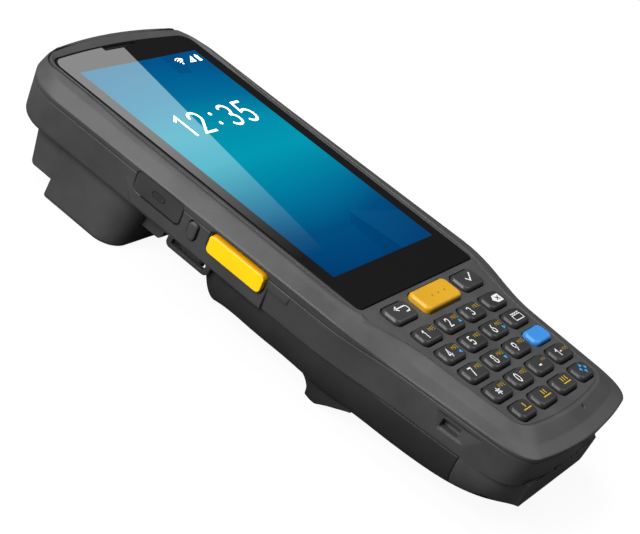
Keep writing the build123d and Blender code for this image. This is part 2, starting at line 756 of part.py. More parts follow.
# ---- front plate and front shell -------------------------------------------------------------
PLATE_LIP_Z = CREST_Z + 1
plate_block = extrude(Face(plate_ring(0, PLATE_Z)), PLATE_LIP_Z - PLATE_Z, dir=(0, 0, 1))
plate_pocket = extrude(Face(plate_ring(PLATE_JOINT, PLATE_Z)), PLATE_LIP_Z - PLATE_Z, dir=(0, 0, 1))
groove_block = extrude(
    Face(plate_ring(PLATE_JOINT + GROOVE_W, RIM_Z - GROOVE_D)),
    PLATE_LIP_Z - RIM_Z + GROOVE_D,
    dir=(0, 0, 1),
)
opening_ring = ring(
    PLATE_HALF - SCREEN_LEDGE,
    PLATE_TOP - LEDGE_IN,
    PLATE_CORNER,
    PLATE_GRIP_HALF - LEDGE_IN,
    PLATE_TAIL_HALF - LEDGE_IN,
    PLATE_END_HALF - LEDGE_IN,
    PLATE_END_CORNER_Y + LEDGE_IN,
    PLATE_END + LEDGE_IN,
    JOIN_Z,
    JOIN_Z,
    JOIN_Z,
    JOIN_Z,
)
EARPIECE_W = 15.0
EARPIECE_H = 1.3
MIC_X = 5.0
MIC_Y = -80.6
MIC_D = 0.9

with BuildPart() as front_plate:
    add(case)
    add(plate_block, mode=Mode.INTERSECT)
    # bed for the cover glass
    extrude(glass_outline(GLASS_GAP, GLASS_BED_Z), amount=CREST_Z - GLASS_BED_Z + 1, mode=Mode.SUBTRACT)
    # the inner slope of the crest at the scanner end
    slope_low = glass_outline(GLASS_GAP, FACE_Z - 0.1).faces()[0]
    slope_high = glass_outline(3.2, CREST_Z + 0.5).faces()[0]
    loft([slope_low, slope_high], mode=Mode.SUBTRACT)
    # window for the display
    with BuildSketch(Plane.XY.offset(PLATE_Z)):
        with Locations((0, SCREEN_Y)):
            Rectangle(LCD_W + 2 * CLEAR, LCD_H + 2 * CLEAR)
    extrude(amount=GLASS_BED_Z - PLATE_Z + 0.1, mode=Mode.SUBTRACT)
    # key holes
    for name, x, y, width, height, rise in key_spots():
        with BuildSketch(Plane.XY.offset(PLATE_Z)):
            with Locations((x, y)):
                RectangleRounded(width + 2 * KEY_GAP, height + 2 * KEY_GAP, KEY_R + KEY_GAP)
        extrude(amount=PLATE_LIP_Z - PLATE_Z, mode=Mode.SUBTRACT)
    # slot for the earpiece
    with BuildSketch(Plane.XY.offset(PLATE_Z)):
        with Locations((0, GLASS_TOP_Y - EARPIECE_H / 2)):
            Rectangle(EARPIECE_W - 2, EARPIECE_H)
    extrude(amount=GLASS_BED_Z - PLATE_Z + 0.1, mode=Mode.SUBTRACT)

with BuildPart() as groove:
    add(groove_block)
    with Locations((0, SCREEN_Y + 6, RIM_Z)):
        Box(2 * CREASE_HALF, GLASS_TOP_Y - GLASS_LOW_Y - 12, 10, mode=Mode.INTERSECT)

SCREW_HOLE_Z = CASE_SEAT_Z + LONG_SCREW + 0.1

with BuildPart() as front_shell:
    add(case)
    split(bisect_by=Plane.XY.offset(JOIN_Z), keep=Keep.TOP)
    add(plate_pocket, mode=Mode.SUBTRACT)
    extrude(Face(opening_ring), PLATE_Z - JOIN_Z + 0.1, dir=(0, 0, 1), mode=Mode.SUBTRACT)
    add(groove.part, mode=Mode.SUBTRACT)
    # bosses for the long screws
    for x, y in CASE_SCREWS + TAIL_SCREWS:
        with Locations((x, y, BOSS_Z)):
            Cylinder(POST_D / 2, FRONT_BOSS + 0.2, align=LOW)
            Cylinder(SCREW_D / 2 + 0.05, SCREW_HOLE_Z - BOSS_Z, align=LOW, mode=Mode.SUBTRACT)
    # microphone hole in the skirt at the keypad end
    with Locations((MIC_X, MIC_Y, JOIN_Z)):
        Cylinder(MIC_D / 2, 2 * (FACE_Z - JOIN_Z), mode=Mode.SUBTRACT)
    add(side_openings.part, mode=Mode.SUBTRACT)


# ---- rear shell ------------------------------------------------------------------------------
back_outer = back_shape(0.0)
back_inner = back_shape(WALL)
SEAL_IN = 0.6
SEAL_TRACK = 0.6
SEAL_DEEP = 0.5


def seal_shape(spare):
    """Ring of the case seal along the joint of the shells, grown by a spare gap."""
    wide = Face(level_ring(inner_share, JOIN_Z, SEAL_IN - spare))
    narrow = Face(level_ring(inner_share, JOIN_Z, SEAL_IN + SEAL_TRACK + spare))
    deep = SEAL_DEEP + spare
    return extrude(wide, deep, dir=(0, 0, -1)) - extrude(narrow, deep, dir=(0, 0, -1))


seal_ring = seal_shape(0.0)
seal_groove = seal_shape(0.05)

with BuildPart() as room:
    # the hollow of the case, stepped up over the battery, with the posts left standing
    add(cavity)
    with Locations((0, COVER_FRONT_Y + WALL, UPPER_FLOOR_IN - 1)):
        Box(
            2 * CREASE_HALF,
            2 * TOP_Y,
            BATTERY_FLOOR_IN - UPPER_FLOOR_IN + 1,
            align=(Align.CENTER, Align.MAX, Align.MIN),
            mode=Mode.SUBTRACT,
        )
    for x, y in BOARD_SCREWS:
        with Locations((x, y, FLOOR_Z)):
            Cylinder(BOSS_D / 2, MAIN_BOARD_Z - FLOOR_Z, align=LOW, mode=Mode.SUBTRACT)
    for x, y in CASE_SCREWS + TAIL_SCREWS:
        with Locations((x, y, FLOOR_Z)):
            Cylinder(BOSS_D / 2, BOSS_Z - FLOOR_Z, align=LOW, mode=Mode.SUBTRACT)
    for x, y in KEYPAD_POSTS:
        with Locations((x, y, FLOOR_Z)):
            Cylinder(POST_D / 2, KEYPAD_BOARD_Z - FLOOR_Z, align=LOW, mode=Mode.SUBTRACT)
    # blocks behind the lanyard slots
    for side in (-1, 1):
        with Locations((side * (SLOT_BLOCK_X + WALL), SLOT_Y, FLOOR_Z)):
            Box(
                2 * WALL,
                SLOT_BLOCK_L,
                FACE_Z - SLOT_DROP + SLOT_H - FLOOR_Z,
                align=LOW,
                mode=Mode.SUBTRACT,
            )

with BuildPart() as tail_room:
    # the hollow of the tail, clear of its screw posts
    add(back_inner)
    with Locations((0, (COVER_END_Y + TAIL_END_Y) / 2, COVER_Z)):
        Box(
            2 * CREASE_HALF,
            COVER_END_Y - TAIL_END_Y - 2 * WALL,
            2 * COVER_Z,
            mode=Mode.INTERSECT,
        )
    for x, y in TAIL_SCREWS:
        with Locations((x, y, 0)):
            Cylinder(PLUG_D / 2 + 1, 2 * COVER_Z, mode=Mode.SUBTRACT)
    # seats of the loudspeaker
    with Locations((-SPEAKER_W / 2 + 1, SPEAKER_Y, 0), (SPEAKER_W / 2 - 1, SPEAKER_Y, 0)):
        Box(2, SPEAKER_L - 2, SPEAKER_Z, align=LOW, mode=Mode.SUBTRACT)
    # slots for the hook tabs of the battery cover
    with Locations((-TAB_X, COVER_END_Y, TAB_Z - CLEAR), (TAB_X, COVER_END_Y, TAB_Z - CLEAR)):
        Box(
            TAB_W + 2 * CLEAR,
            TAB_REACH + CLEAR,
            4.6,
            align=(Align.CENTER, Align.MAX, Align.MIN),
        )

with BuildPart() as tail_block:
    add(back_outer)
    with Locations((0, COVER_END_Y - SEAM, 0)):
        Box(
            2 * CREASE_HALF,
            TOP_Y,
            4 * COVER_Z,
            align=(Align.CENTER, Align.MAX, Align.CENTER),
            mode=Mode.INTERSECT,
        )

with BuildPart() as rear_shell:
    add(case)
    split(bisect_by=Plane.XY.offset(JOIN_Z), keep=Keep.BOTTOM)
    add(room.part, mode=Mode.SUBTRACT)
    # the battery side is open below the cover joint
    with Locations((0, COVER_FRONT_Y, COVER_Z)):
        Box(
            2 * CREASE_HALF,
            2 * TOP_Y,
            COVER_Z,
            align=(Align.CENTER, Align.MAX, Align.MAX),
            mode=Mode.SUBTRACT,
        )
    add(tail_block.part)
    add(tail_room.part, mode=Mode.SUBTRACT)
    # feet beside the strap lugs
    with BuildSketch(Plane.XY.offset(FOOT_Z)):
        with Locations((-(FOOT_IN + FOOT_OUT) / 2, FOOT_Y), ((FOOT_IN + FOOT_OUT) / 2, FOOT_Y)):
            RectangleRounded(FOOT_OUT - FOOT_IN, FOOT_L, 1.2)
    extrude(amount=UPPER_FLOOR_IN - FOOT_Z)
    # the tail opens into the case
    with Locations((0, SPEAKER_Y, COVER_Z - 1)):
        Box(SPEAKER_W + 4, SPEAKER_L - 1, BATTERY_FLOOR_T + 2, align=LOW, mode=Mode.SUBTRACT)
    # bed of the battery
    with Locations((0, BATTERY_Y, COVER_Z - 1)):
        Box(BATTERY_W + 2 * CLEAR, BATTERY_L + 2 * CLEAR, BATTERY_IN + 1, align=LOW, mode=Mode.SUBTRACT)
    # screw holes with seats for their heads
    for x, y in BOARD_SCREWS:
        with Locations((x, y, BOARD_SEAT_Z)):
            Cylinder(SCREW_HEAD_D / 2 + 0.2, 2 * (BOARD_SEAT_Z - FLOOR_Z) + 1, mode=Mode.SUBTRACT)
        with Locations((x, y, 0)):
            Cylinder(SCREW_D / 2 + 0.1, 3 * FACE_Z, mode=Mode.SUBTRACT)
    for x, y in CASE_SCREWS + TAIL_SCREWS:
        with Locations((x, y, 0)):
            Cylinder(SCREW_HEAD_D / 2 + 0.2, CASE_SEAT_Z, align=LOW, mode=Mode.SUBTRACT)
            Cylinder(SCREW_D / 2 + 0.1, 3 * FACE_Z, mode=Mode.SUBTRACT)
        with Locations((x, y, BOSS_Z)):
            Cylinder(POST_D / 2 + 0.15, FRONT_BOSS + 1, align=LOW, mode=Mode.SUBTRACT)
    for x, y in TAIL_SCREWS:
        with Locations((x, y, 0)):
            Cylinder(PLUG_D / 2, CASE_SEAT_Z - 4, align=LOW, mode=Mode.SUBTRACT)
    for x, y in HOOD_SCREWS:
        with Locations((x, y, FLOOR_Z)):
            Cylinder(SCREW_D / 2 + 0.1, 4 * WALL, mode=Mode.SUBTRACT)
    # port down into the scanner hump
    with Locations((0, PORT_Y, FLOOR_Z)):
        Box(PORT_W, PORT_L, 4 * WALL, mode=Mode.SUBTRACT)
    add(side_openings.part, mode=Mode.SUBTRACT)
    for side in (-1, 1):
        grip_wall = side * (TAIL_HALF + 0.4)
        with BuildSketch(Plane.XY.offset(FACE_Z - SCOOP_LOW_DROP)):
            with BuildLine():
                Polyline(
                    (grip_wall + side * 4, SCOOP_FRONT_Y),
                    (grip_wall + side * 0.8, SCOOP_FRONT_Y),
                    (grip_wall - side * (SCOOP_DEPTH - 0.6), SCOOP_FRONT_Y - 2.5),
                    (grip_wall - side * SCOOP_DEPTH, SLOT_Y - SLOT_L / 2 - 0.5),
                    (grip_wall, SCOOP_END_Y),
                    (grip_wall + side * 4, SCOOP_END_Y),
                    close=True,
                )
            make_face()
        extrude(amount=SCOOP_LOW_DROP - SCOOP_HIGH_DROP, mode=Mode.SUBTRACT)
        with Locations((side * TAIL_HALF, SLOT_Y, FACE_Z - SLOT_DROP)):
            Box(2 * (TAIL_HALF - SLOT_END_X), SLOT_L, SLOT_H, mode=Mode.SUBTRACT)
    # loudspeaker holes in the back of the tail
    with BuildSketch(Plane.XY):
        with Locations((0, SPEAKER_Y)):
            with GridLocations(SPEAKER_PITCH, SPEAKER_PITCH, 5, 3):
                Circle(0.6)
    extrude(amount=SPEAKER_Z, mode=Mode.SUBTRACT)
    # notch and charging contacts in the keypad end
    with Locations((0, END_Y, FACE_Z - NOTCH_DROP)):
        Box(NOTCH_W, 4.4, NOTCH_H, mode=Mode.SUBTRACT)
    with BuildSketch(Plane.XZ.offset(-END_Y + 1)):
        with Locations((0, FACE_Z - CONTACT_DROP)):
            with GridLocations(CONTACT_PITCH, 1, CONTACTS, 1):
                Circle(CONTACT_D / 2)
    extrude(amount=-6, mode=Mode.SUBTRACT)
    # groove of the seal
    add(seal_groove, mode=Mode.SUBTRACT)

with BuildPart() as case_seal:
    add(seal_ring)
    add(side_openings.part, mode=Mode.SUBTRACT)

with BuildPart() as screw_plugs:
    for x, y in TAIL_SCREWS:
        with Locations((x, y, 0)):
            Cylinder(PLUG_D / 2 - 0.05, CASE_SEAT_Z - 4 - PLUG_H / 2, align=LOW)
    add(back_outer, mode=Mode.INTERSECT)

# ---- battery cover ---------------------------------------------------------------------------
with BuildPart() as ridge_pads:
    with Locations((-PAD_X, RIDGE_TIP_Y, 0), (PAD_X, RIDGE_TIP_Y, 0)):
        Box(PAD_W, PAD_L, PAD_OUT + PAD_IN, align=LOW)

with BuildPart() as cover_room:
    add(back_inner)
    add(ridge_shape(ridge_room_side(), WALL))
    extrude(cover_front(WALL + COVER_GAP), amount=CREASE_HALF, both=True, mode=Mode.INTERSECT)

with BuildPart() as battery_cover:
    add(back_outer)
    add(ridge_shape(ridge_side(), 0.0))
    extrude(cover_front(COVER_GAP), amount=CREASE_HALF, both=True, mode=Mode.INTERSECT)
    add(cover_room.part, mode=Mode.SUBTRACT)
    # the ridge's tip is flat and holds the two pads
    with Locations((0, RIDGE_TIP_Y, 0)):
        Box(2 * CREASE_HALF, TOP_Y, PAD_OUT, align=LOW, mode=Mode.SUBTRACT)
    add(ridge_pads.part, mode=Mode.SUBTRACT)
    with Locations((0, COVER_END_Y, -1)):
        Box(
            2 * CREASE_HALF,
            TOP_Y * 2,
            COVER_Z - SEAM + 1,
            align=(Align.CENTER, Align.MIN, Align.MIN),
            mode=Mode.INTERSECT,
        )
    # hook tabs that reach into the tail
    with Locations((-TAB_X, COVER_END_Y, TAB_Z), (TAB_X, COVER_END_Y, TAB_Z)):
        Box(TAB_W, TAB_REACH - CLEAR, TAB_T, align=(Align.CENTER, Align.MAX, Align.MIN))
        Box(TAB_W, 2.0, TAB_T, align=(Align.CENTER, Align.MIN, Align.MIN))
        Box(TAB_W, 2.0, 3.4, align=(Align.CENTER, Align.MIN, Align.CENTER))

with BuildPart() as battery_pack:
    with BuildSketch(Plane.XY.offset(BATTERY_Z)):
        with Locations((0, BATTERY_Y)):
            RectangleRounded(BATTERY_W, BATTERY_L, 2.0)
    extrude(amount=BATTERY_T)
    fillet(battery_pack.edges().group_by(Axis.Z)[0], 1.2)
    # sunk contacts at the scanner end
    with Locations((0, BATTERY_Y + BATTERY_L / 2, BATTERY_Z + 5)):
        with GridLocations(2.6, 1, 4, 1):
            Box(1.6, 0.8, 2.4, mode=Mode.SUBTRACT)

BLOCK_W = 12.0
BLOCK_Y = 5.6
BLOCK_L = 2.0
with BuildPart() as battery_contacts:
    with Locations((0, BLOCK_Y, BATTERY_Z + 3)):
        Box(BLOCK_W, BLOCK_L, COVER_Z - BATTERY_Z - 3, align=LOW)
    # sprung pins that touch the battery
    with Locations((0, BATTERY_Y + BATTERY_L / 2 - 0.4, BATTERY_Z + 5)):
        with GridLocations(2.6, 1, 4, 1):
            Box(1.0, 1.4, 1.4, align=(Align.CENTER, Align.MIN, Align.CENTER))


# ---- scanner hump ----------------------------------------------------------------------------
HOOD_TOP = COVER_Z       # the hump reaches up into the case and is cut off along its floor


def hood_shape(inset, top):
    """Scanner hump with its nose and the low ledge behind it, shrunk by an inset."""
    half = HUMP_HALF - inset
    edge = HUMP_EDGE if inset == 0 else 0.3
    with BuildPart() as hood:
        with BuildSketch(Plane.YZ):
            with BuildLine():
                Polyline(
                    (HUMP_BACK_Y + inset, top),
                    (HUMP_BACK_Y + HUMP_LEAN + inset, inset),
                    (HUMP_STEP_Y - inset, inset),
                    (HUMP_STEP_Y - inset, top),
                    close=True,
                )
            make_face()
        extrude(amount=half, both=True)
        rear = hood.edges().filter_by(lambda e: abs(e.center().X) > half - 1).sort_by(Axis.Y)[:2]
        fillet(rear, HUMP_CORNER - inset)
        fillet(hood.edges().group_by(Axis.Z)[0], edge)
        with BuildSketch(Plane.YZ) as nose_view:
            with BuildLine():
                Polyline(
                    (HUMP_STEP_Y - HUMP_CORNER, top),
                    (HUMP_STEP_Y - HUMP_CORNER, NOSE_Z + inset),
                    (NOSE_Y - NOSE_LEAN - inset, NOSE_Z + inset),
                    (NOSE_Y - inset, FLOOR_Z),
                    (NOSE_Y - inset, top),
                    close=True,
                )
            make_face()
            fillet(nose_view.vertices().group_by(Axis.Y)[0].sort_by(Axis.X)[-1], edge)
        extrude(amount=half - NOSE_IN, both=True)
        with BuildSketch(Plane.YZ) as ledge_view:
            with BuildLine():
                Polyline(
                    (LEDGE_Y + inset, top),
                    (LEDGE_Y + inset + 1.5, LEDGE_Z + inset),
                    (HUMP_BACK_Y + 4.0, LEDGE_Z + inset),
                    (HUMP_BACK_Y + 4.0, top),
                    close=True,
                )
            make_face()
            fillet(ledge_view.vertices().group_by(Axis.Y)[0].sort_by(Axis.X)[0], edge)
        extrude(amount=LEDGE_HALF - inset, both=True)
    return hood.part


window_plane = Plane(
    origin=(0, NOSE_Y - NOSE_LEAN * 0.52, NOSE_Z + (FLOOR_Z - NOSE_Z) * 0.48),
    x_dir=(1, 0, 0),
    z_dir=(0, FLOOR_Z - NOSE_Z, -NOSE_LEAN),
)
WINDOW_SET = 0.35        # the window sits back from the nose by this
CAMERA_SET = 0.3

with BuildPart() as scanner_hood:
    add(hood_shape(0.0, HOOD_TOP))
    add(hood_shape(WALL, HOOD_TOP + 1), mode=Mode.SUBTRACT)
    # bosses for the screws and two ribs under the scan engine
    for x, y in HOOD_SCREWS:
        with Locations((x, y, NOSE_Z + 4)):
            Cylinder(POST_D / 2, FLOOR_Z - NOSE_Z - 4, align=LOW)
            Cylinder(SCREW_D / 2 + 0.05, FLOOR_Z, mode=Mode.SUBTRACT)
    with Locations((-10, HUMP_STEP_Y, WALL - 0.2), (10, HUMP_STEP_Y, WALL - 0.2)):
        Box(2, 14, NOSE_Z + 0.2, align=(Align.CENTER, Align.MAX, Align.MIN))
    add(case, mode=Mode.SUBTRACT)
    # scan window
    with BuildSketch(window_plane.offset(1)):
        RectangleRounded(WINDOW_W + 2 * SEAM, WINDOW_H + 2 * SEAM, 1.2)
    extrude(amount=-1 - WINDOW_SET - WINDOW_T, mode=Mode.SUBTRACT)
    with BuildSketch(window_plane.offset(1)):
        RectangleRounded(WINDOW_W - 2, WINDOW_H - 2, 0.8)
    extrude(amount=-5, mode=Mode.SUBTRACT)
    # camera window
    with Locations((CAMERA_X, CAMERA_Y, LEDGE_Z)):
        Cylinder(CAMERA_D / 2 + SEAM, 2 * (CAMERA_SET + CAMERA_GLASS_T), mode=Mode.SUBTRACT)
        Cylinder(CAMERA_D / 2 - 0.8, 4 * WALL, mode=Mode.SUBTRACT)

with BuildPart() as scanner_window:
    with BuildSketch(window_plane.offset(-WINDOW_SET)):
        RectangleRounded(WINDOW_W, WINDOW_H, 1.0)
    extrude(amount=-WINDOW_T)

ENGINE_FRONT_Y = 67.2
with BuildPart() as scanner_engine:
    with Locations((0, ENGINE_FRONT_Y, NOSE_Z + WALL)):
        Box(ENGINE_W, ENGINE_L, ENGINE_H, align=(Align.CENTER, Align.MAX, Align.MIN))
    fillet(scanner_engine.edges().filter_by(Axis.Y), 0.8)
    with BuildSketch(Plane.XZ.offset(-ENGINE_FRONT_Y)):
        with Locations((0, window_plane.origin.Z)):
            Rectangle(ENGINE_W - 3, 5)
    extrude(amount=-0.8, mode=Mode.SUBTRACT)
    with BuildSketch(Plane.XZ.offset(-ENGINE_FRONT_Y + 0.9)):
        with Locations((0, window_plane.origin.Z)):
            Circle(2.2)
        with Locations((-9, window_plane.origin.Z), (9, window_plane.origin.Z)):
            Circle(1.4)
    extrude(amount=0.9)

with BuildPart() as camera_window:
    with Locations((CAMERA_X, CAMERA_Y, LEDGE_Z + CAMERA_SET)):
        Cylinder(CAMERA_D / 2, CAMERA_GLASS_T, align=LOW)

with BuildPart() as camera_module:
    with Locations((CAMERA_X, CAMERA_Y + 1.1, LEDGE_Z + WALL)):
        Box(6.2, 5.2, 4.4, align=LOW)
    with Locations((CAMERA_X, CAMERA_Y, LEDGE_Z + CAMERA_SET + CAMERA_GLASS_T + 0.05)):
        Cylinder(CAMERA_D / 2 - 1.0, WALL, align=LOW)


# ---- screen and electronics ------------------------------------------------------------------
with BuildPart() as touch_glass:
    extrude(glass_outline(0, FACE_Z - GLASS_T), amount=GLASS_T)
    # notch over the earpiece
    with Locations((0, GLASS_TOP_Y, FACE_Z)):
        Box(EARPIECE_W, 2 * EARPIECE_H, 3 * GLASS_T, mode=Mode.SUBTRACT)
    chamfer(touch_glass.edges().group_by(Axis.Z)[-1], 0.2)

with BuildPart() as glass_seal:
    extrude(glass_outline(-0.2, GLASS_BED_Z), amount=SEAL_T)
    extrude(glass_outline(-0.2 - SEAL_W, GLASS_BED_Z), amount=SEAL_T, mode=Mode.SUBTRACT)
    with Locations((0, GLASS_TOP_Y, GLASS_BED_Z)):
        Box(EARPIECE_W, 2 * EARPIECE_H + 0.6, 3 * SEAL_T, mode=Mode.SUBTRACT)

with BuildPart() as lcd_module:
    with Locations((0, SCREEN_Y, LCD_Z)):
        Box(LCD_W, LCD_H, LCD_T, align=LOW)
    fillet(lcd_module.edges().filter_by(Axis.Z), 0.8)

with BuildPart() as chassis:
    with BuildSketch(Plane.XY.offset(CHASSIS_Z)):
        with Locations((0, (CHASSIS_TOP_Y + CHASSIS_LOW_Y) / 2)):
            RectangleRounded(2 * CHASSIS_HALF, CHASSIS_TOP_Y - CHASSIS_LOW_Y, 4.0)
        # lightening windows
        with Locations((0, 2), (0, 46)):
            RectangleRounded(34, 30, 3.0, mode=Mode.SUBTRACT)
    extrude(amount=CHASSIS_T)
    # foam strips that carry the display
    with Locations((-CHASSIS_HALF + 4, SCREEN_Y, CHASSIS_Z), (CHASSIS_HALF - 4, SCREEN_Y, CHASSIS_Z)):
        Box(3, LCD_H - 10, LCD_Z - CHASSIS_Z, align=LOW)
    for x, y in BOARD_SCREWS:
        with Locations((x, y, MAIN_BOARD_Z + BOARD_T)):
            Cylinder(LEG_D / 2, CHASSIS_Z - MAIN_BOARD_Z - BOARD_T, align=LOW)
            Cylinder(SCREW_D / 2 + 0.05, CHASSIS_Z - MAIN_BOARD_Z - BOARD_T, align=LOW, mode=Mode.SUBTRACT)

with BuildPart() as main_board:
    with BuildSketch(Plane.XY.offset(MAIN_BOARD_Z)):
        with Locations((0, (BOARD_TOP_Y + BOARD_LOW_Y) / 2)):
            RectangleRounded(2 * BOARD_HALF, BOARD_TOP_Y - BOARD_LOW_Y, 5.0)
        with Locations(CASE_SCREWS[2:]):
            Circle(BOSS_D / 2 + CLEAR, mode=Mode.SUBTRACT)
        with Locations(BOARD_SCREWS):
            Circle(SCREW_D / 2 + 0.1, mode=Mode.SUBTRACT)
    extrude(amount=BOARD_T)

BOARD_TOP_Z = MAIN_BOARD_Z + BOARD_T
CANS = ((-8, 30, 24, 18, 1.8), (10, 56, 20, 14, 1.6), (-14, 60, 14, 10, 1.6))
with BuildPart() as shield_cans:
    for x, y, width, length, height in CANS:
        with Locations((x, y, BOARD_TOP_Z)):
            Box(width, length, height, align=LOW)
    fillet(shield_cans.edges().filter_by(Axis.Z), 0.8)

with BuildPart() as keypad_board:
    extrude(Face(plate_ring(-2.0, KEYPAD_BOARD_Z)), BOARD_T, dir=(0, 0, 1))
    with Locations((0, KEYPAD_BOARD_Y, KEYPAD_BOARD_Z)):
        Box(2 * CREASE_HALF, TOP_Y, 4, align=(Align.CENTER, Align.MAX, Align.CENTER), mode=Mode.INTERSECT)

with BuildPart() as keypad_mat:
    extrude(Face(plate_ring(-1.2, KEYPAD_BOARD_Z + BOARD_T)), MAT_T, dir=(0, 0, 1))
    with Locations((0, KEYPAD_BOARD_Y + 0.4, KEYPAD_BOARD_Z)):
        Box(2 * CREASE_HALF, TOP_Y, 4, align=(Align.CENTER, Align.MAX, Align.CENTER), mode=Mode.INTERSECT)
    # one dome under each key
    for name, x, y, width, height, rise in key_spots():
        with Locations((x, y, KEYPAD_BOARD_Z + BOARD_T)):
            Cone(1.9, 1.3, MAT_T + MAT_NUB, align=LOW)

with BuildPart() as usb_socket:
    with Locations((-SOCKET_X, USB_Y, BOARD_TOP_Z)):
        Box(
            SOCKET_X - SOCKET_END_X,
            SOCKET_L,
            SOCKET_H,
            align=(Align.MIN, Align.CENTER, Align.MIN),
        )
    fillet(usb_socket.edges().filter_by(Axis.X), 1.2)
    # mouth with its tongue
    with BuildSketch(Plane.YZ.offset(-SOCKET_X)):
        with Locations((USB_Y, BOARD_TOP_Z + SOCKET_H / 2)):
            RectangleRounded(SOCKET_L - 1.0, SOCKET_H - 1.0, 1.0)
            RectangleRounded(SOCKET_L - 3.2, 0.7, 0.3, mode=Mode.SUBTRACT)
    extrude(amount=6, mode=Mode.SUBTRACT)

SWITCH_L = 6.0
SWITCH_H = 3.2
SWITCH_IN = 4.8
with BuildPart() as side_switches:
    for name, side, y, drop, length, height, corner, out in SIDE_KEYS:
        with Locations((side * (SWITCH_X - SWITCH_IN / 2), y, BOARD_TOP_Z)):
            Box(SWITCH_IN, SWITCH_L * min(1, length / SIDE_KEY_L + 0.5), SWITCH_H, align=LOW)

with BuildPart() as earpiece:
    with Locations((0, GLASS_TOP_Y - 2.3, PLATE_Z - 2.2)):
        Box(13.0, 4.6, 2.2, align=LOW)
    fillet(earpiece.edges().filter_by(Axis.Z), 0.6)

with BuildPart() as loudspeaker:
    with Locations((0, SPEAKER_Y, SPEAKER_Z)):
        Box(SPEAKER_W, SPEAKER_L, SPEAKER_T, align=LOW)
    fillet(loudspeaker.edges().filter_by(Axis.Z), 1.5)

with BuildPart() as microphone:
    with Locations((MIC_X, MIC_Y, JOIN_Z)):
        Box(3.8, 3.0, 1.2, align=(Align.CENTER, Align.CENTER, Align.MAX))

with BuildPart() as vibration_motor:
    with Locations((22, 26, UPPER_FLOOR_IN)):
        Cylinder(5.0, 3.0, align=LOW)
    fillet(vibration_motor.edges().group_by(Axis.Z)[-1], 0.4)

with BuildPart() as charge_contacts:
    with BuildSketch(Plane.XZ.offset(-END_Y - 1.4)):
        with Locations((0, FACE_Z - CONTACT_DROP)):
            with GridLocations(CONTACT_PITCH, 1, CONTACTS, 1):
                Circle(CONTACT_D / 2 - 0.05)
    extrude(amount=-3.4)


# ---- keys ------------------------------------------------------------------------------------
KEY_LOW_Z = 28.8
KEY_FLANGE_T = 0.7
KEY_ROUND = 0.9
key_room = extrude(Face(plate_ring(-0.9, KEY_LOW_Z - 1)), PLATE_Z - KEY_LOW_Z + 1.05, dir=(0, 0, 1))

for name, x, y, width, height, rise in key_spots():
    with BuildPart() as key:
        with BuildSketch(Plane.XY.offset(KEY_LOW_Z)):
            with Locations((x, y)):
                RectangleRounded(width, height, KEY_R)
        extrude(amount=PLATE_Z - KEY_LOW_Z + 0.05)
        # flange under the front plate
        with BuildSketch(Plane.XY.offset(KEY_LOW_Z)):
            with Locations((x, y)):
                Rectangle(width - 2 * KEY_R, height + 2 * KEY_FLANGE)
        extrude(amount=KEY_FLANGE_T)
        add(key_room, mode=Mode.INTERSECT)
        with BuildSketch(Plane.XY.offset(PLATE_Z + 0.05)):
            with Locations((x, y)):
                RectangleRounded(width, height, KEY_R)
        extrude(amount=PLATEAU_Z + rise - PLATE_Z - 0.05)
        fillet(key.edges().group_by(Axis.Z)[-1], KEY_ROUND)
    save(key.part, name)

for name, side, y, drop, length, height, corner, out in SIDE_KEYS:
    with BuildPart() as button:
        with BuildSketch(side_plane(side, y, drop, out)):
            RectangleRounded(length, height, corner)
        extrude(amount=-out - FLANGE_DEPTH - FLANGE_T)
        face = button.faces().sort_by(Axis.X)[-1 if side > 0 else 0]
        fillet(face.edges(), SIDE_KEY_EDGE)
        with BuildSketch(side_plane(side, y, drop, -FLANGE_DEPTH)):
            Rectangle(length + 2 * FLANGE_OUT, height - FLANGE_LOW)
        extrude(amount=-FLANGE_T)
    save(button.part, name)

with BuildPart() as usb_cover:
    with BuildSketch(side_plane(-1, USB_Y, USB_DROP)):
        RectangleRounded(USB_L, USB_H, USB_R)
    extrude(amount=-COVER_T)
    # plug that fills the mouth of the socket hole
    with BuildSketch(side_plane(-1, USB_Y, USB_DROP, -COVER_T)):
        RectangleRounded(COVER_PLUG_L, COVER_PLUG_H, 1.1)
    extrude(amount=-COVER_PLUG_T)


# ---- strap lugs ------------------------------------------------------------------------------
def strap_lug(side):
    """Flat loop under the side pod with a slot for a hand strap."""
    top = POD_LOW_Z
    with BuildPart() as lug:
        with BuildSketch(Plane.YZ.offset(side * LUG_X)) as loop:
            with Locations((LUG_Y, (top + LUG_Z) / 2)):
                Rectangle(LUG_L, top - LUG_Z)
            fillet(loop.vertices().group_by(Axis.Y)[0], 1.6)
            with Locations((LUG_Y, LUG_Z + LUG_BAND + LUG_SLOT / 2)):
                RectangleRounded(LUG_L - 3 * LUG_BAND, LUG_SLOT, 0.8, mode=Mode.SUBTRACT)
        extrude(amount=LUG_T / 2, both=True)
        add(case, mode=Mode.SUBTRACT)
    return lug.part


strap_lug_left = strap_lug(-1)
strap_lug_right = strap_lug(1)


# ---- fasteners -------------------------------------------------------------------------------
with BuildPart() as long_screws:
    for x, y in CASE_SCREWS + TAIL_SCREWS:
        with Locations((x, y, CASE_SEAT_Z - SCREW_HEAD_H)):
            Cylinder(SCREW_HEAD_D / 2, SCREW_HEAD_H, align=LOW)
            Cylinder(SCREW_D / 2, SCREW_HEAD_H + LONG_SCREW, align=LOW)
        with BuildSketch(Plane.XY.offset(CASE_SEAT_Z - SCREW_HEAD_H)):
            with Locations((x, y)):
                RegularPolygon(0.8, 6)
        extrude(amount=0.8, mode=Mode.SUBTRACT)

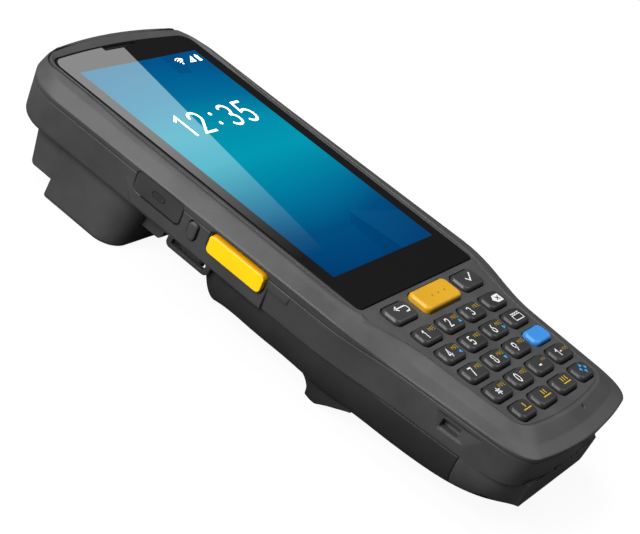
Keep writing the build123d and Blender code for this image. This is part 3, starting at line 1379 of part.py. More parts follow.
with BuildPart() as short_screws:
    for x, y in BOARD_SCREWS:
        with Locations((x, y, BOARD_SEAT_Z - SCREW_HEAD_H)):
            Cylinder(SCREW_HEAD_D / 2, SCREW_HEAD_H, align=LOW)
            Cylinder(SCREW_D / 2, SCREW_HEAD_H + SHORT_SCREW, align=LOW)
        with BuildSketch(Plane.XY.offset(BOARD_SEAT_Z - SCREW_HEAD_H)):
            with Locations((x, y)):
                RegularPolygon(0.8, 6)
        extrude(amount=0.8, mode=Mode.SUBTRACT)
    for x, y in HOOD_SCREWS:
        with Locations((x, y, UPPER_FLOOR_IN)):
            Cylinder(SCREW_HEAD_D / 2, SCREW_HEAD_H, align=LOW)
        with Locations((x, y, UPPER_FLOOR_IN - SHORT_SCREW)):
            Cylinder(SCREW_D / 2, SHORT_SCREW, align=LOW)
        with BuildSketch(Plane.XY.offset(UPPER_FLOOR_IN + SCREW_HEAD_H)):
            with Locations((x, y)):
                RegularPolygon(0.8, 6)
        extrude(amount=-0.8, mode=Mode.SUBTRACT)

# ---- files -----------------------------------------------------------------------------------
save(front_shell.part, "front_shell")
save(front_plate.part, "front_plate")
save(rear_shell.part, "rear_shell")
save(case_seal.part, "case_seal")
save(screw_plugs.part, "screw_plugs")
save(battery_cover.part, "battery_cover")
save(ridge_pads.part, "ridge_pads")
save(battery_pack.part, "battery_pack")
save(battery_contacts.part, "battery_contacts")
save(scanner_hood.part, "scanner_hood")
save(scanner_window.part, "scanner_window")
save(scanner_engine.part, "scanner_engine")
save(camera_window.part, "camera_window")
save(camera_module.part, "camera_module")
save(touch_glass.part, "touch_glass")
save(glass_seal.part, "glass_seal")
save(lcd_module.part, "lcd_module")
save(chassis.part, "chassis")
save(main_board.part, "main_board")
save(shield_cans.part, "shield_cans")
save(keypad_board.part, "keypad_board")
save(keypad_mat.part, "keypad_mat")
save(usb_socket.part, "usb_socket")
save(usb_cover.part, "usb_cover")
save(side_switches.part, "side_switches")
save(earpiece.part, "earpiece")
save(loudspeaker.part, "loudspeaker")
save(microphone.part, "microphone")
save(vibration_motor.part, "vibration_motor")
save(charge_contacts.part, "charge_contacts")
save(strap_lug_left, "strap_lug_left")
save(strap_lug_right, "strap_lug_right")
save(long_screws.part, "long_screws")
save(short_screws.part, "short_screws")
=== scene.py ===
"""Looks of the portable barcode terminal: materials, prints, screen picture, camera and light."""
import json
from math import cos, radians, sin

import bmesh
import bpy
from mathutils import Matrix, Vector


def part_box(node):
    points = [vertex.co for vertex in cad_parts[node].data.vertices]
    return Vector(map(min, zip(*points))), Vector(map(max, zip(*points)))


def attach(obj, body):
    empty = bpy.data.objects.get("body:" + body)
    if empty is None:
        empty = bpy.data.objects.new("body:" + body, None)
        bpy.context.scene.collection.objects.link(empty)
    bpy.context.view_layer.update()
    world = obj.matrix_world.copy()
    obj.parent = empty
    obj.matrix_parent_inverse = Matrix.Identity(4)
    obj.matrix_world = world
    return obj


MM = 0.001

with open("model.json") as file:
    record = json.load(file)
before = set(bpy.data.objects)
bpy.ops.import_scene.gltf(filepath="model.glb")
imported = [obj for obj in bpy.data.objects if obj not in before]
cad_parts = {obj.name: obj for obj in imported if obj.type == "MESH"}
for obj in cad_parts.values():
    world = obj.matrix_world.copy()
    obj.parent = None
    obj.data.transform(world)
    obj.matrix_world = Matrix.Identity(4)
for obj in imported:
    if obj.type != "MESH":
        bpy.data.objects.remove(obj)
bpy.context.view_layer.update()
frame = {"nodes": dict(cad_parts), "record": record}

# ---- places in the part's own frame, in millimetres ------------------------------------------------
GLASS_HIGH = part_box("touch_glass")[1] / MM
LCD_LOW, LCD_HIGH = (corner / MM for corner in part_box("lcd_module"))
FACE = GLASS_HIGH.z
SCREEN_HALF_W = 26.0
SCREEN_HALF_H = 44.45
SCREEN_Y = (LCD_LOW.y + LCD_HIGH.y) / 2
PICTURE_TOP = SCREEN_Y + SCREEN_HALF_H
# heights of the flat layers over the surface that carries them
PICTURE_LIFT = 0.02
FOLD_LIFT = 0.03
PRINT_LIFT = 0.04
SHEEN_LIFT = 0.06
OVERPRINT_LIFT = 0.07
WALL_LIFT = 0.2
LEFT = Vector((-1, 0, 0))
UP = Vector((0, 0, 1))

# ---- materials -------------------------------------------------------------------------------------
BLACK = (0, 0, 0, 1)
WHITE = (1, 1, 1, 1)
MIX_A, MIX_B, MIX_RESULT = 6, 7, 2    # the colour sockets of a Mix node
PATCH_NOISE = (90.0, 4.0)             # each noise as (scale, detail)
GRAIN_NOISE = (2600.0, 2.0)
INK_NOISE = (900.0, 2.0)
SMEAR_NOISE = (25.0, 5.0)
BRUSH_NOISE = (1.0, 3.0)
BRUSH_STRETCH = (3000.0, 200.0, 3000.0)
BRUSH_GLOSS = 0.08                    # roughness to either side of the metal's own
PATCH_TONES = (0.35, 0.65)            # noise at the darkest and at the lightest tone
PATCH_GLOSS = (-0.05, 0.07)           # roughness under and over the plastic's own
GRAIN_DEPTH = 0.05
BEVEL_SAMPLES = 8
GLASS_GLOSS = (0.04, 0.1)             # lowest and highest roughness
INK_FADE = 0.85
FLANK_RISE = (0.1, 0.7)               # upward share of a face's normal where the painted shade of upward flanks begins and where it is full
                                      # begins and where it is full


def srgb(hex_colour):
    """Linear RGBA from a hex colour as a screen shows it."""
    parts = [int(hex_colour[i:i + 2], 16) / 255 for i in (1, 3, 5)]
    linear = [p / 12.92 if p <= 0.04045 else ((p + 0.055) / 1.055) ** 2.4 for p in parts]
    return (*linear, 1.0)


def scaled(colour, factor):
    """The same colour, lighter or darker."""
    return [min(1.0, part * factor) for part in colour[:3]] + [1.0]


class Nodes:
    """Short ways to add and link the nodes of one material, or of the world."""

    def __init__(self, owner, shader="Principled BSDF", out="Material Output"):
        owner.use_nodes = True
        self.owner = owner
        self.tree = owner.node_tree
        self.shader = self.tree.nodes[shader]
        self.surface = self.tree.nodes[out].inputs["Surface"]

    def feed(self, socket, value):
        """Gives an input a fixed value, or links an output to it."""
        if isinstance(value, bpy.types.NodeSocket):
            self.tree.links.new(value, socket)
        else:
            socket.default_value = value

    def fill(self, node, **values):
        """Feeds inputs by name, with _ for each space, and sets a node's other settings."""
        for key, value in values.items():
            socket = key.replace("_", " ")
            if socket in node.inputs:
                self.feed(node.inputs[socket], value)
            else:
                setattr(node, key, value)
        return node

    def add(self, kind, **values):
        return self.fill(self.tree.nodes.new(kind), **values)

    def place(self):
        """Coordinates that stay with the piece."""
        return self.add("ShaderNodeTexCoord").outputs["Object"]

    def axes(self, vector):
        """The X, Y and Z of a vector, by name."""
        return self.add("ShaderNodeSeparateXYZ", Vector=vector).outputs

    def noise(self, scale, detail, stretch=None):
        """Cloudy value from 0 to 1 that stays with the piece."""
        place = self.place()
        if stretch:
            place = self.add("ShaderNodeMapping", Vector=place, Scale=stretch).outputs["Vector"]
        return self.add("ShaderNodeTexNoise", Vector=place, Scale=scale, Detail=detail).outputs["Fac"]

    def between(self, value, **limits):
        """Value moved from one range to another, and kept inside it."""
        return self.add("ShaderNodeMapRange", Value=value, **limits).outputs["Result"]

    def ramp(self, value, stops):
        """Colour that follows a value from 0 to 1; stops are (value, colour)."""
        node = self.add("ShaderNodeValToRGB", Fac=value)
        elements = node.color_ramp.elements
        for element, (at, colour) in zip(elements, (stops[0], stops[-1])):
            element.position = at
            element.color = colour
        for at, colour in stops[1:-1]:
            elements.new(at).color = colour
        return node.outputs["Color"]

    def maths(self, operation, a, b):
        node = self.add("ShaderNodeMath", operation=operation)
        self.feed(node.inputs[0], a)
        self.feed(node.inputs[1], b)
        return node.outputs[0]

    def mix_colours(self, share, a, b):
        mix = self.add("ShaderNodeMix", data_type="RGBA", Factor=share)
        self.feed(mix.inputs[MIX_A], a)
        self.feed(mix.inputs[MIX_B], b)
        return mix.outputs[MIX_RESULT]

    def mix_shaders(self, share, a, b):
        mix = self.add("ShaderNodeMixShader")
        for socket, value in zip(mix.inputs, (share, a, b)):
            self.feed(socket, value)
        return mix.outputs[0]

    def glow(self, colour, strength=1.0):
        return self.add("ShaderNodeEmission", Color=colour, Strength=strength).outputs[0]

    def clear(self):
        return self.add("ShaderNodeBsdfTransparent").outputs[0]


def new_nodes(name):
    """Nodes of a new material."""
    return Nodes(bpy.data.materials.new(name))


def plastic(name, colour, rough, grain=0.06, spread=0.12, bevel=0.2, specular=0.4):
    """Moulded plastic: fine grain, slightly uneven colour and gloss, softened edges."""
    n = new_nodes(name)
    patches = n.noise(*PATCH_NOISE)
    tones = list(zip(PATCH_TONES, (scaled(colour, 1 - spread), scaled(colour, 1 + spread))))
    soft = n.add("ShaderNodeBevel", samples=BEVEL_SAMPLES, Radius=bevel * MM)
    bump = n.add("ShaderNodeBump", Strength=grain, Distance=GRAIN_DEPTH * MM,
                 Height=n.noise(*GRAIN_NOISE), Normal=soft.outputs["Normal"])
    low, high = PATCH_GLOSS
    n.fill(n.shader, Base_Color=n.ramp(patches, tones), Specular_IOR_Level=specular,
           Roughness=n.between(patches, To_Min=rough + low, To_Max=rough + high),
           Normal=bump.outputs["Normal"])
    return n.owner


def metal(name, colour, rough):
    """Plain metal with fine brushing along Y."""
    n = new_nodes(name)
    lines = n.noise(*BRUSH_NOISE, BRUSH_STRETCH)
    n.fill(n.shader, Base_Color=colour, Metallic=1.0,
           Roughness=n.between(lines, To_Min=rough - BRUSH_GLOSS, To_Max=rough + BRUSH_GLOSS))
    return n.owner


def black_glass(name):
    """Cover glass over black ink, with faint smears in its gloss."""
    n = new_nodes(name)
    low, high = GLASS_GLOSS
    n.fill(n.shader, Base_Color=srgb("#131314"), Specular_IOR_Level=0.04,
           Roughness=n.between(n.noise(*SMEAR_NOISE), To_Min=low, To_Max=high))
    return n.owner


def printed(name, colour, glow=0.0):
    """Ink of a legend, a little uneven; the screen's ink also glows."""
    n = new_nodes(name)
    tone = n.mix_colours(n.noise(*INK_NOISE), colour, scaled(colour, INK_FADE))
    n.fill(n.shader, Base_Color=tone, Roughness=0.5)
    if glow:
        n.fill(n.shader, Emission_Color=tone, Emission_Strength=glow)
    return n.owner


PICTURE_MIDDLE_X = -4.0
PICTURE_GLOW_Y = 1.0        # middle of the course, above the middle of the screen
PICTURE_CURVE = 70.0        # this far to either side, the colours change twice as fast
PICTURE_SPAN = 100.0        # length of the whole course of colours
PICTURE_STOPS = (
    (0.0, "#003a70"),
    (0.18, "#004d7e"),
    (0.30, "#007099"),
    (0.50, "#0098b1"),
    (0.64, "#018dab"),
    (0.76, "#006c9a"),
    (0.92, "#00558c"),
    (1.0, "#00508a"),
)


def screen_picture():
    """Lit wallpaper: teal in the middle that turns to deep blue at both ends."""
    n = new_nodes("screen_picture")
    axes = n.axes(n.place())
    across = n.maths("ADD", axes["X"], PICTURE_MIDDLE_X * -MM)
    across = n.maths("MULTIPLY", across, 1 / PICTURE_CURVE / MM)
    quicken = n.maths("ADD", n.maths("MULTIPLY", across, across), 1.0)
    along = n.maths("SUBTRACT", axes["Y"], (SCREEN_Y + PICTURE_GLOW_Y) * MM)
    along = n.maths("MULTIPLY", n.maths("MULTIPLY", along, quicken), 1 / PICTURE_SPAN / MM)
    stops = [(at, srgb(colour)) for at, colour in PICTURE_STOPS]
    n.fill(n.shader, Base_Color=BLACK, Roughness=0.08, Specular_IOR_Level=0.02,
           Emission_Color=n.ramp(n.maths("ADD", along, 0.5), stops), Emission_Strength=1.0)
    return n.owner


def painted_reflection(name, stops, low, high, colour):
    """Painted reflection: a clear film that glows with a sheen from low to high along Y; stops are
    (share of the way, strength).
    """
    n = new_nodes(name)
    n.tree.nodes.remove(n.shader)
    along = n.between(n.axes(n.place())["Y"], From_Min=low * MM, From_Max=high * MM)
    strength = n.ramp(along, [(at, (value, value, value, 1)) for at, value in stops])
    both = n.add("ShaderNodeAddShader")
    n.feed(both.inputs[0], n.clear())
    n.feed(both.inputs[1], n.glow(colour, strength))
    n.feed(n.surface, both.outputs[0])
    return n.owner


def film(name, colour, cover):
    """Thin see-through tint over the picture."""
    n = new_nodes(name)
    n.tree.nodes.remove(n.shader)
    n.feed(n.surface, n.mix_shaders(cover, n.clear(), n.glow(colour)))
    return n.owner


def flank_shaded_plastic(name, face_colour, flank_shade_colour, rough):
    """Moulded plastic with painted shade: faces that turn upward get a deeper tone, chosen by their
    normal.
    """
    n = Nodes(plastic(name, face_colour, rough, spread=0.02))
    base = n.shader.inputs["Base Color"]
    normal = n.add("ShaderNodeNewGeometry").outputs["Normal"]
    low, high = FLANK_RISE
    rise = n.between(n.axes(normal)["Z"], From_Min=low, From_Max=high)
    n.feed(base, n.mix_colours(rise, base.links[0].from_socket, flank_shade_colour))
    return n.owner


looks = {
    "shell": plastic("shell_plastic", srgb("#3e3e3f"), 0.42, bevel=0.9, specular=0.25),
    "plate": plastic("plate_plastic", srgb("#3d3d3e"), 0.45, bevel=0.4, specular=0.2),
    "hood": plastic("hump_plastic", srgb("#3d3d3e"), 0.5, bevel=0.6, specular=0.2),
    # the battery cover is darker than the shell: painted shade for its downward faces
    "cover": plastic("cover_plastic", srgb("#282829"), 0.5, bevel=0.8, specular=0.2),
    "seal": plastic("seal_rubber", srgb("#101010"), 0.7, specular=0.1),
    "mat": plastic("mat_rubber", srgb("#0c0c0c"), 0.8, specular=0.1),
    "cover_rubber": plastic("flap_rubber", srgb("#363637"), 0.6, grain=0.1, specular=0.15),
    "scan_window": black_glass("scan_glass"),
    "module": plastic("module_plastic", srgb("#202021"), 0.6),
    "cover_glass": black_glass("cover_glass"),
    "display": black_glass("display_glass"),
    "chassis_metal": metal("chassis_metal", (0.6, 0.6, 0.62, 1), 0.4),
    "steel": metal("steel", (0.5, 0.5, 0.5, 1), 0.35),
    "board": plastic("board_resin", srgb("#14532c"), 0.35),
    "contact": metal("contact_dark", (0.05, 0.045, 0.035, 1), 0.4),
    "battery": plastic("battery_wrap", srgb("#26272b"), 0.4),
    "lug": plastic("lug_plastic", srgb("#2c2c2d"), 0.4, specular=0.25),
    # the scan button's upward flank is painted shade, a deeper orange set by its normal
    "yellow": flank_shaded_plastic("yellow_plastic", srgb("#fbcb00"), srgb("#c88a00"), 0.4),
    "key_amber": plastic("amber_plastic", srgb("#b88a1c"), 0.35, spread=0.04, specular=0.3),
    "key_blue": plastic("blue_plastic", srgb("#3278bc"), 0.35, spread=0.05, specular=0.3),
    "key_dark": plastic("key_plastic", srgb("#2a2a2b"), 0.36, specular=0.3),
    "key_light": plastic("top_key_plastic", srgb("#313132"), 0.33, specular=0.35),
}
slot_of = {entry["node"]: entry["material_slot"] for entry in frame["record"]["subparts"]}
for name, node in frame["nodes"].items():
    for slot in node.material_slots:
        slot.material = looks[slot_of[name]]

white_ink = printed("white_ink", srgb("#cdcdcd"))
amber_ink = printed("amber_ink", srgb("#957a12"))
function_ink = printed("function_ink", srgb("#c29a14"))
blue_ink = printed("blue_ink", srgb("#1e93d8"))
dark_ink = printed("dark_amber_ink", srgb("#8a5f12"))
screen_ink = printed("screen_white", srgb("#ffffff"), glow=0.9)
seam_ink = printed("seam_shade", srgb("#060606"))
sign_ink = printed("sign_shade", srgb("#1c1c1d"))

# ---- flat shapes, as lists of polygons in millimetres ----------------------------------------------
STROKE_END = 0.25         # an open line runs on by this share of its width
STROKE_MITRE = 0.5        # least cosine that a corner's reach is divided by
SAME_PLACE = 1e-6
TURNED_BACK = 0.1         # under this, a line turns back on itself and has no mean direction


def rectangle(low_x, low_y, high_x, high_y):
    return [(low_x, low_y), (high_x, low_y), (high_x, high_y), (low_x, high_y)]


def arc(x, y, half_w, half_h, start, end, steps=14):
    """Points on an ellipse from one angle to another, in degrees."""
    turns = [radians(start + (end - start) * i / steps) for i in range(steps + 1)]
    return [(x + half_w * cos(t), y + half_h * sin(t)) for t in turns]


def disc(x, y, radius, steps=20):
    return arc(x, y, radius, radius, 0, 360, steps)[:-1]


def stroke(points, width):
    """One ribbon of some width through the points, mitred at each of them."""
    closed = (Vector(points[0]) - Vector(points[-1])).length < SAME_PLACE
    path = [Vector(p) for p in (points[:-1] if closed else points)]
    count = len(path)
    sides = []
    for i, place in enumerate(path):
        before = path[i - 1] if closed or i else None
        after = path[(i + 1) % count] if closed or i < count - 1 else None
        into = (place - before).normalized() if before is not None else (after - place).normalized()
        out = (after - place).normalized() if after is not None else into
        run = (into + out).normalized() if (into + out).length > TURNED_BACK else into
        across = Vector((-run.y, run.x))
        reach = width / 2 / max(STROKE_MITRE, run.dot(into))
        if before is None:
            place = place - run * width * STROKE_END
        if after is None:
            place = place + run * width * STROKE_END
        sides.append((place + across * reach, place - across * reach))
    if closed:
        sides.append(sides[0])
    return [[tuple(a[0]), tuple(a[1]), tuple(b[1]), tuple(b[0])] for a, b in zip(sides, sides[1:])]


def strokes(width, *lines):
    """Ribbons of one width through several lines of points."""
    return [polygon for points in lines for polygon in stroke(points, width)]


def moved(polygons, x, y, scale=1.0):
    return [[(px * scale + x, py * scale + y) for px, py in polygon] for polygon in polygons]


# Plain figures as lines in a box one unit high, lower left corner at the origin.
FIGURES = {
    "0": [arc(0.31, 0.5, 0.25, 0.46, 90, 450, 24)],
    "1": [[(0.14, 0.76), (0.36, 0.94), (0.36, 0.04)]],
    "2": [arc(0.3, 0.7, 0.24, 0.25, 170, -38) + [(0.06, 0.05), (0.58, 0.05)]],
    "3": [arc(0.28, 0.73, 0.23, 0.22, 150, -80), arc(0.28, 0.28, 0.26, 0.24, 82, -150)],
    "4": [[(0.43, 0.04), (0.43, 0.95), (0.04, 0.3), (0.6, 0.3)]],
    "5": [[(0.52, 0.95), (0.15, 0.95), (0.11, 0.52)] + arc(0.29, 0.31, 0.26, 0.27, 112, -140)],
    "6": [arc(0.31, 0.31, 0.25, 0.27, 90, 450, 20), [(0.46, 0.95), (0.12, 0.5)]],
    "7": [[(0.06, 0.95), (0.57, 0.95), (0.24, 0.04)]],
    "8": [arc(0.31, 0.73, 0.2, 0.22, 90, 450, 20), arc(0.31, 0.28, 0.24, 0.24, 90, 450, 20)],
    "9": [arc(0.31, 0.69, 0.25, 0.27, 90, 450, 20), [(0.16, 0.05), (0.5, 0.5)]],
}
FIGURE_W = 0.62           # width of that box


def figure(text, x, y, height, width, line):
    """Polygons of one plain figure, centred at x, y."""
    return strokes(line, *[
        [((px / FIGURE_W - 0.5) * width + x, (py - 0.5) * height + y) for px, py in points]
        for points in FIGURES[text]])


def rounded_outline(x, y, half_w, half_h, corner):
    """Closed outline of a rectangle with round corners."""
    points = []
    for side_x, side_y, start in ((1, 1, 0), (-1, 1, 90), (-1, -1, 180), (1, -1, 270)):
        middle = x + side_x * (half_w - corner), y + side_y * (half_h - corner)
        points += arc(*middle, corner, corner, start, start + 90, 5)
    return points + points[:1]


# ---- pieces made of flat shapes --------------------------------------------------------------------
def sheet(name, polygons, place, outward, material, body):
    """One piece: place puts a polygon's point into the frame, and the faces look outward."""
    mesh = bpy.data.meshes.new(name)
    work = bmesh.new()
    for polygon in polygons:
        work.faces.new([work.verts.new(place(*point)) for point in polygon])
    bmesh.ops.recalc_face_normals(work, faces=work.faces)
    for face in work.faces:
        if face.normal.dot(outward) < 0:
            face.normal_flip()
    work.to_mesh(mesh)
    work.free()
    mesh.materials.append(material)
    piece = bpy.data.objects.new(name, mesh)
    bpy.context.scene.collection.objects.link(piece)
    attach(piece, body)


def drawing(name, polygons, z, material, body):
    """Flat shapes at one height."""
    sheet(name, polygons, lambda x, y: (x * MM, y * MM, z * MM), UP, material, body)


# ---- screen ----------------------------------------------------------------------------------------
picture = rectangle(-SCREEN_HALF_W, SCREEN_Y - SCREEN_HALF_H, SCREEN_HALF_W, PICTURE_TOP)
drawing("screen_picture", [picture], FACE + PICTURE_LIFT, screen_picture(), "housing")

CLOCK_Y = SCREEN_Y + 16.8
CLOCK_H = 9.2
CLOCK_W = 5.6
CLOCK_LINE = 0.85
CLOCK_FIGURES = (("1", -13.0), ("2", -6.0), ("3", 8.2), ("5", 15.4))
COLON_X = 1.1
COLON_HALF = 2.1
COLON_DOT = 0.62
clock = []
for text, x in CLOCK_FIGURES:
    clock += figure(text, x, CLOCK_Y, CLOCK_H, CLOCK_W, CLOCK_LINE)
clock += [disc(COLON_X, CLOCK_Y + side * COLON_HALF, COLON_DOT) for side in (-1, 1)]
drawing("clock", clock, FACE + PRINT_LIFT, screen_ink, "housing")

# small marks at the upper right: waves over a dot, a wedge with its right half full, a battery
STATUS_LOW = SCREEN_Y + 40.0
WAVE_X = 15.0
WAVE_DOT = 0.32
WAVE_LINE = 0.3
WAVE_RADII = (0.95, 1.75, 2.5)
WEDGE = [(18.6, 0.0), (21.2, 0.0), (21.2, 2.3), (18.6, 0.0)]
WEDGE_FULL = [(19.9, 0.0), (21.2, 0.0), (21.2, 2.3), (19.9, 1.15)]
WEDGE_LINE = 0.26
BATTERY = rectangle(22.9, -0.2, 24.3, 2.3)
BATTERY_CAP = rectangle(23.3, 2.35, 23.9, 2.75)
status = [disc(WAVE_X, 0, WAVE_DOT), WEDGE_FULL, BATTERY, BATTERY_CAP]
status += strokes(WAVE_LINE, *[arc(WAVE_X, 0, radius, radius, 45, 135, 6) for radius in WAVE_RADII])
status += stroke(WEDGE, WEDGE_LINE)
drawing("status_marks", moved(status, 0, STATUS_LOW), FACE + PRINT_LIFT, screen_ink, "housing")

# faint folds in the picture, measured from its middle
fold_dark = film("fold_shade", srgb("#003a6c"), 0.3)
fold_pale = film("fold_light", srgb("#2f86b4"), 0.05)
FOLDS = (
    ("fold_low", ((1.0, -44.4), (9.5, -44.4), (7.0, -27.0), (2.5, -31.0)), fold_dark),
    ("fold_low_side", ((9.5, -44.4), (26.0, -44.4), (26.0, -33.0), (7.0, -27.0)), fold_pale),
    ("fold_high", ((9.5, 44.4), (18.0, 44.4), (14.0, 35.5), (8.5, 36.5)), fold_dark),
)
for name, corners, material in FOLDS:
    drawing(name, moved([corners], 0, SCREEN_Y), FACE + FOLD_LIFT, material, "housing")

# painted reflection: a sheen that glows over the left of the glass, with one straight edge
SHEEN_INSET = 0.4             # from the edge of the glass
SHEEN_HALF_W = GLASS_HIGH.x - SHEEN_INSET
SHEEN_TOP = GLASS_HIGH.y - SHEEN_INSET
SHEEN_LOW = SCREEN_Y - 36.0
SHEEN_EDGE_X = 0.7            # where the straight edge meets the top
SHEEN_SLOPE = 0.214
SHEEN_STOPS = (
    (0.0, 0.0),
    (0.136, 0.025),
    (0.273, 0.075),
    (0.409, 0.14),
    (0.545, 0.205),
    (0.68, 0.23),
    (1.0, 0.24),
)
# colour of the painted reflection where it lies over the picture
PICTURE_SHEEN_TINT = (0.78, 1.24, 1.18, 1)
GLASS_CORNER = 3.6
GLASS_BOW = 1.8               # the upper edge falls by this towards the sides
BOW_PLACES = (-12.0, -16.0, -20.0, -24.0)
NOTCH_HALF = 7.8              # the sheen leaves out the notch in the middle of the upper edge
NOTCH_DEEP = 1.5


def glass_edge(x):
    """Upper edge of the glass at x."""
    return SHEEN_TOP - GLASS_BOW * (x / SHEEN_HALF_W) ** 2


def sheen_edge(y):
    """Point of the sheen's straight right edge at y."""
    return SHEEN_EDGE_X + (y - SHEEN_TOP) * SHEEN_SLOPE, y


corner_x = GLASS_CORNER - SHEEN_HALF_W
corner_y = glass_edge(corner_x) - GLASS_CORNER
notch_y = glass_edge(NOTCH_HALF) - NOTCH_DEEP
side_sheen = rectangle(-SHEEN_HALF_W, SHEEN_LOW, -SCREEN_HALF_W, PICTURE_TOP)
top_sheen = [(-SHEEN_HALF_W, PICTURE_TOP), sheen_edge(PICTURE_TOP), sheen_edge(notch_y)]
top_sheen += [(-NOTCH_HALF, notch_y), (-NOTCH_HALF, glass_edge(NOTCH_HALF))]
top_sheen += [(x, glass_edge(x)) for x in BOW_PLACES]
top_sheen += arc(corner_x, corner_y, GLASS_CORNER, GLASS_CORNER, 100, 180, 6)
picture_sheen = [(-SCREEN_HALF_W, SHEEN_LOW), sheen_edge(SHEEN_LOW)]
picture_sheen += [sheen_edge(PICTURE_TOP), (-SCREEN_HALF_W, PICTURE_TOP)]
SHEENS = (
    ("border_sheen", [side_sheen, top_sheen], WHITE),
    ("picture_sheen", [picture_sheen], PICTURE_SHEEN_TINT),
)
for name, shapes, tint in SHEENS:
    gleam = painted_reflection(name, SHEEN_STOPS, SHEEN_LOW, SHEEN_TOP, tint)
    drawing(name, shapes, FACE + SHEEN_LIFT, gleam, "housing")

# ---- fine lines on the left wall -------------------------------------------------------------------
FLAP_LOW, FLAP_HIGH = (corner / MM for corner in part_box("usb_cover"))
FLAP_Y = (FLAP_LOW.y + FLAP_HIGH.y) / 2
FLAP_Z = (FLAP_LOW.z + FLAP_HIGH.z) / 2
FLAP_HALF_L = (FLAP_HIGH.y - FLAP_LOW.y) / 2
FLAP_HALF_H = (FLAP_HIGH.z - FLAP_LOW.z) / 2
WALL_LEAN = 0.1884            # the wall moves inwards by this for each millimetre down
SEAM_LINE = 0.42
SEAM_CORNER = 1.5
SIGN_LINE = 0.28
SIGN_SIZE = (2.0, 0.85, 0.8)  # half length, half height, corner
SIGN_BAR_HALF = 1.1


def wall_drawing(name, polygons, material, body):
    """Flat shapes on the leaning left wall; x runs along Y and y runs up."""
    def on_wall(along, up):
        depth = FLAP_LOW.x - WALL_LIFT + (FLAP_HIGH.z - up) * WALL_LEAN
        return depth * MM, along * MM, up * MM

    sheet(name, polygons, on_wall, LEFT, material, body)


# the hinged end of the flap has no dark line, so that the flap swings clear
seam_half_l = FLAP_HALF_L + SEAM_LINE / 4
seam_half_h = FLAP_HALF_H + SEAM_LINE / 4
hinged_end = FLAP_Y + FLAP_HALF_L - SEAM_CORNER
seam_path = rounded_outline(FLAP_Y, FLAP_Z, seam_half_l, seam_half_h, SEAM_CORNER)
seam_path = [point for point in seam_path if point[0] < hinged_end]
seam_path.insert(0, (hinged_end - SEAM_CORNER, FLAP_Z + seam_half_h))
seam_path.append((hinged_end - SEAM_CORNER, FLAP_Z - seam_half_h))
wall_drawing("flap_seam", stroke(seam_path, SEAM_LINE), seam_ink, "housing")
sign_bar = [(FLAP_Y - SIGN_BAR_HALF, FLAP_Z), (FLAP_Y + SIGN_BAR_HALF, FLAP_Z)]
sign = strokes(SIGN_LINE, rounded_outline(FLAP_Y, FLAP_Z, *SIGN_SIZE), sign_bar)
wall_drawing("socket_sign", sign, sign_ink, "usb_cover")

# ---- legends on the keys ---------------------------------------------------------------------------
DIGIT_H = 2.9
DIGIT_W = 1.75
DIGIT_LINE = 0.37
DIGIT_X = -1.6
MARKS_X, MARKS_Y = 2.3, 0.75
ARROW_X, ARROW_Y = 2.9, -0.95
ARROW_SIZE = 0.75
ARROW_TURNS = {"2": 90, "4": 180, "6": 0, "8": 270}
RING_W, RING_H = 1.3, 1.05
RING_ARROW = 0.72
DOT = 0.32
DASH_MARKS_SCALE = 0.7
SHIFT_MARKS_SCALE = 0.85
BAR_STEP = 1.25
BAR_LINE = 0.4
BAR_BASE_LINE = 0.3
CROSS_LINE = 0.34
POST_LINE = 0.24
LOOP_LINE = 0.198
THIN = 0.22
FINE = 0.28
MEDIUM = 0.36
BOLD = 0.46


def legend(key, name, polygons, material, dx=0.0, dy=0.0, lift=PRINT_LIFT):
    """Flat shapes on a key's top, measured from its middle."""
    low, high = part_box(key)
    x, y = (low.x + high.x) / 2 / MM, (low.y + high.y) / 2 / MM
    drawing(name, moved(polygons, x + dx, y + dy), high.z / MM + lift, material, key)


def arrow_head(turn, size):
    """Small filled triangle that points along an angle."""
    return [arc(0, 0, size, size, turn, turn + 240, 2)]


# three small marks that stand for a group of letters, without being any
small_marks = strokes(THIN, [(-1.35, -0.5), (-1.35, 0.5)], [(-1.35, 0.5), (-0.75, 0.1)])
small_marks += stroke(arc(-0.1, 0.0, 0.32, 0.48, 90, 450, 10), LOOP_LINE)
small_marks += strokes(THIN, *[[(0.75, y), (1.35, y)] for y in (0.5, 0.0, -0.5)])

for text in "1234567890":
    key = "key_" + text
    legend(key, "figure_" + text, figure(text, 0, 0, DIGIT_H, DIGIT_W, DIGIT_LINE), white_ink, DIGIT_X)
    legend(key, "marks_" + text, small_marks, amber_ink, MARKS_X, MARKS_Y)
for text, turn in ARROW_TURNS.items():
    legend("key_" + text, "arrow_" + text, arrow_head(turn, ARROW_SIZE), blue_ink, ARROW_X, ARROW_Y)

star = strokes(MEDIUM, *[arc(0, 0, 1.05, 1.05, turn, turn + 180, 1) for turn in (90, 30, -30)])
dash = stroke([(-0.6, 0), (0.6, 0)], BOLD)
back_line = [(0.9, -1.0), (2.1, -1.0)] + arc(2.1, -0.1, 0.75, 0.9, -90, 90, 8) + [(-2.5, 0.8)]
back = strokes(MEDIUM, back_line, [(-1.3, 1.55), (-2.6, 0.8), (-1.3, 0.05)])
tick = stroke([(-1.9, 0.0), (-0.7, -1.15), (1.9, 1.3)], BOLD)
dots = [disc(x, 0, DOT, 14) for x in (-3.0, 0.3, 3.6)]
erase = [[(-2.3, 0), (-1.0, -1.3), (2.3, -1.3), (2.3, 1.3), (-1.0, 1.3)]]
cross = strokes(CROSS_LINE, [(-0.3, -0.6), (1.3, 0.6)], [(-0.3, 0.6), (1.3, -0.6)])
menu_box = rectangle(-2.2, -1.2, 2.2, 0.55)
menu = strokes(FINE, menu_box + menu_box[:1], [(-2.2, 1.15), (2.2, 1.15)])
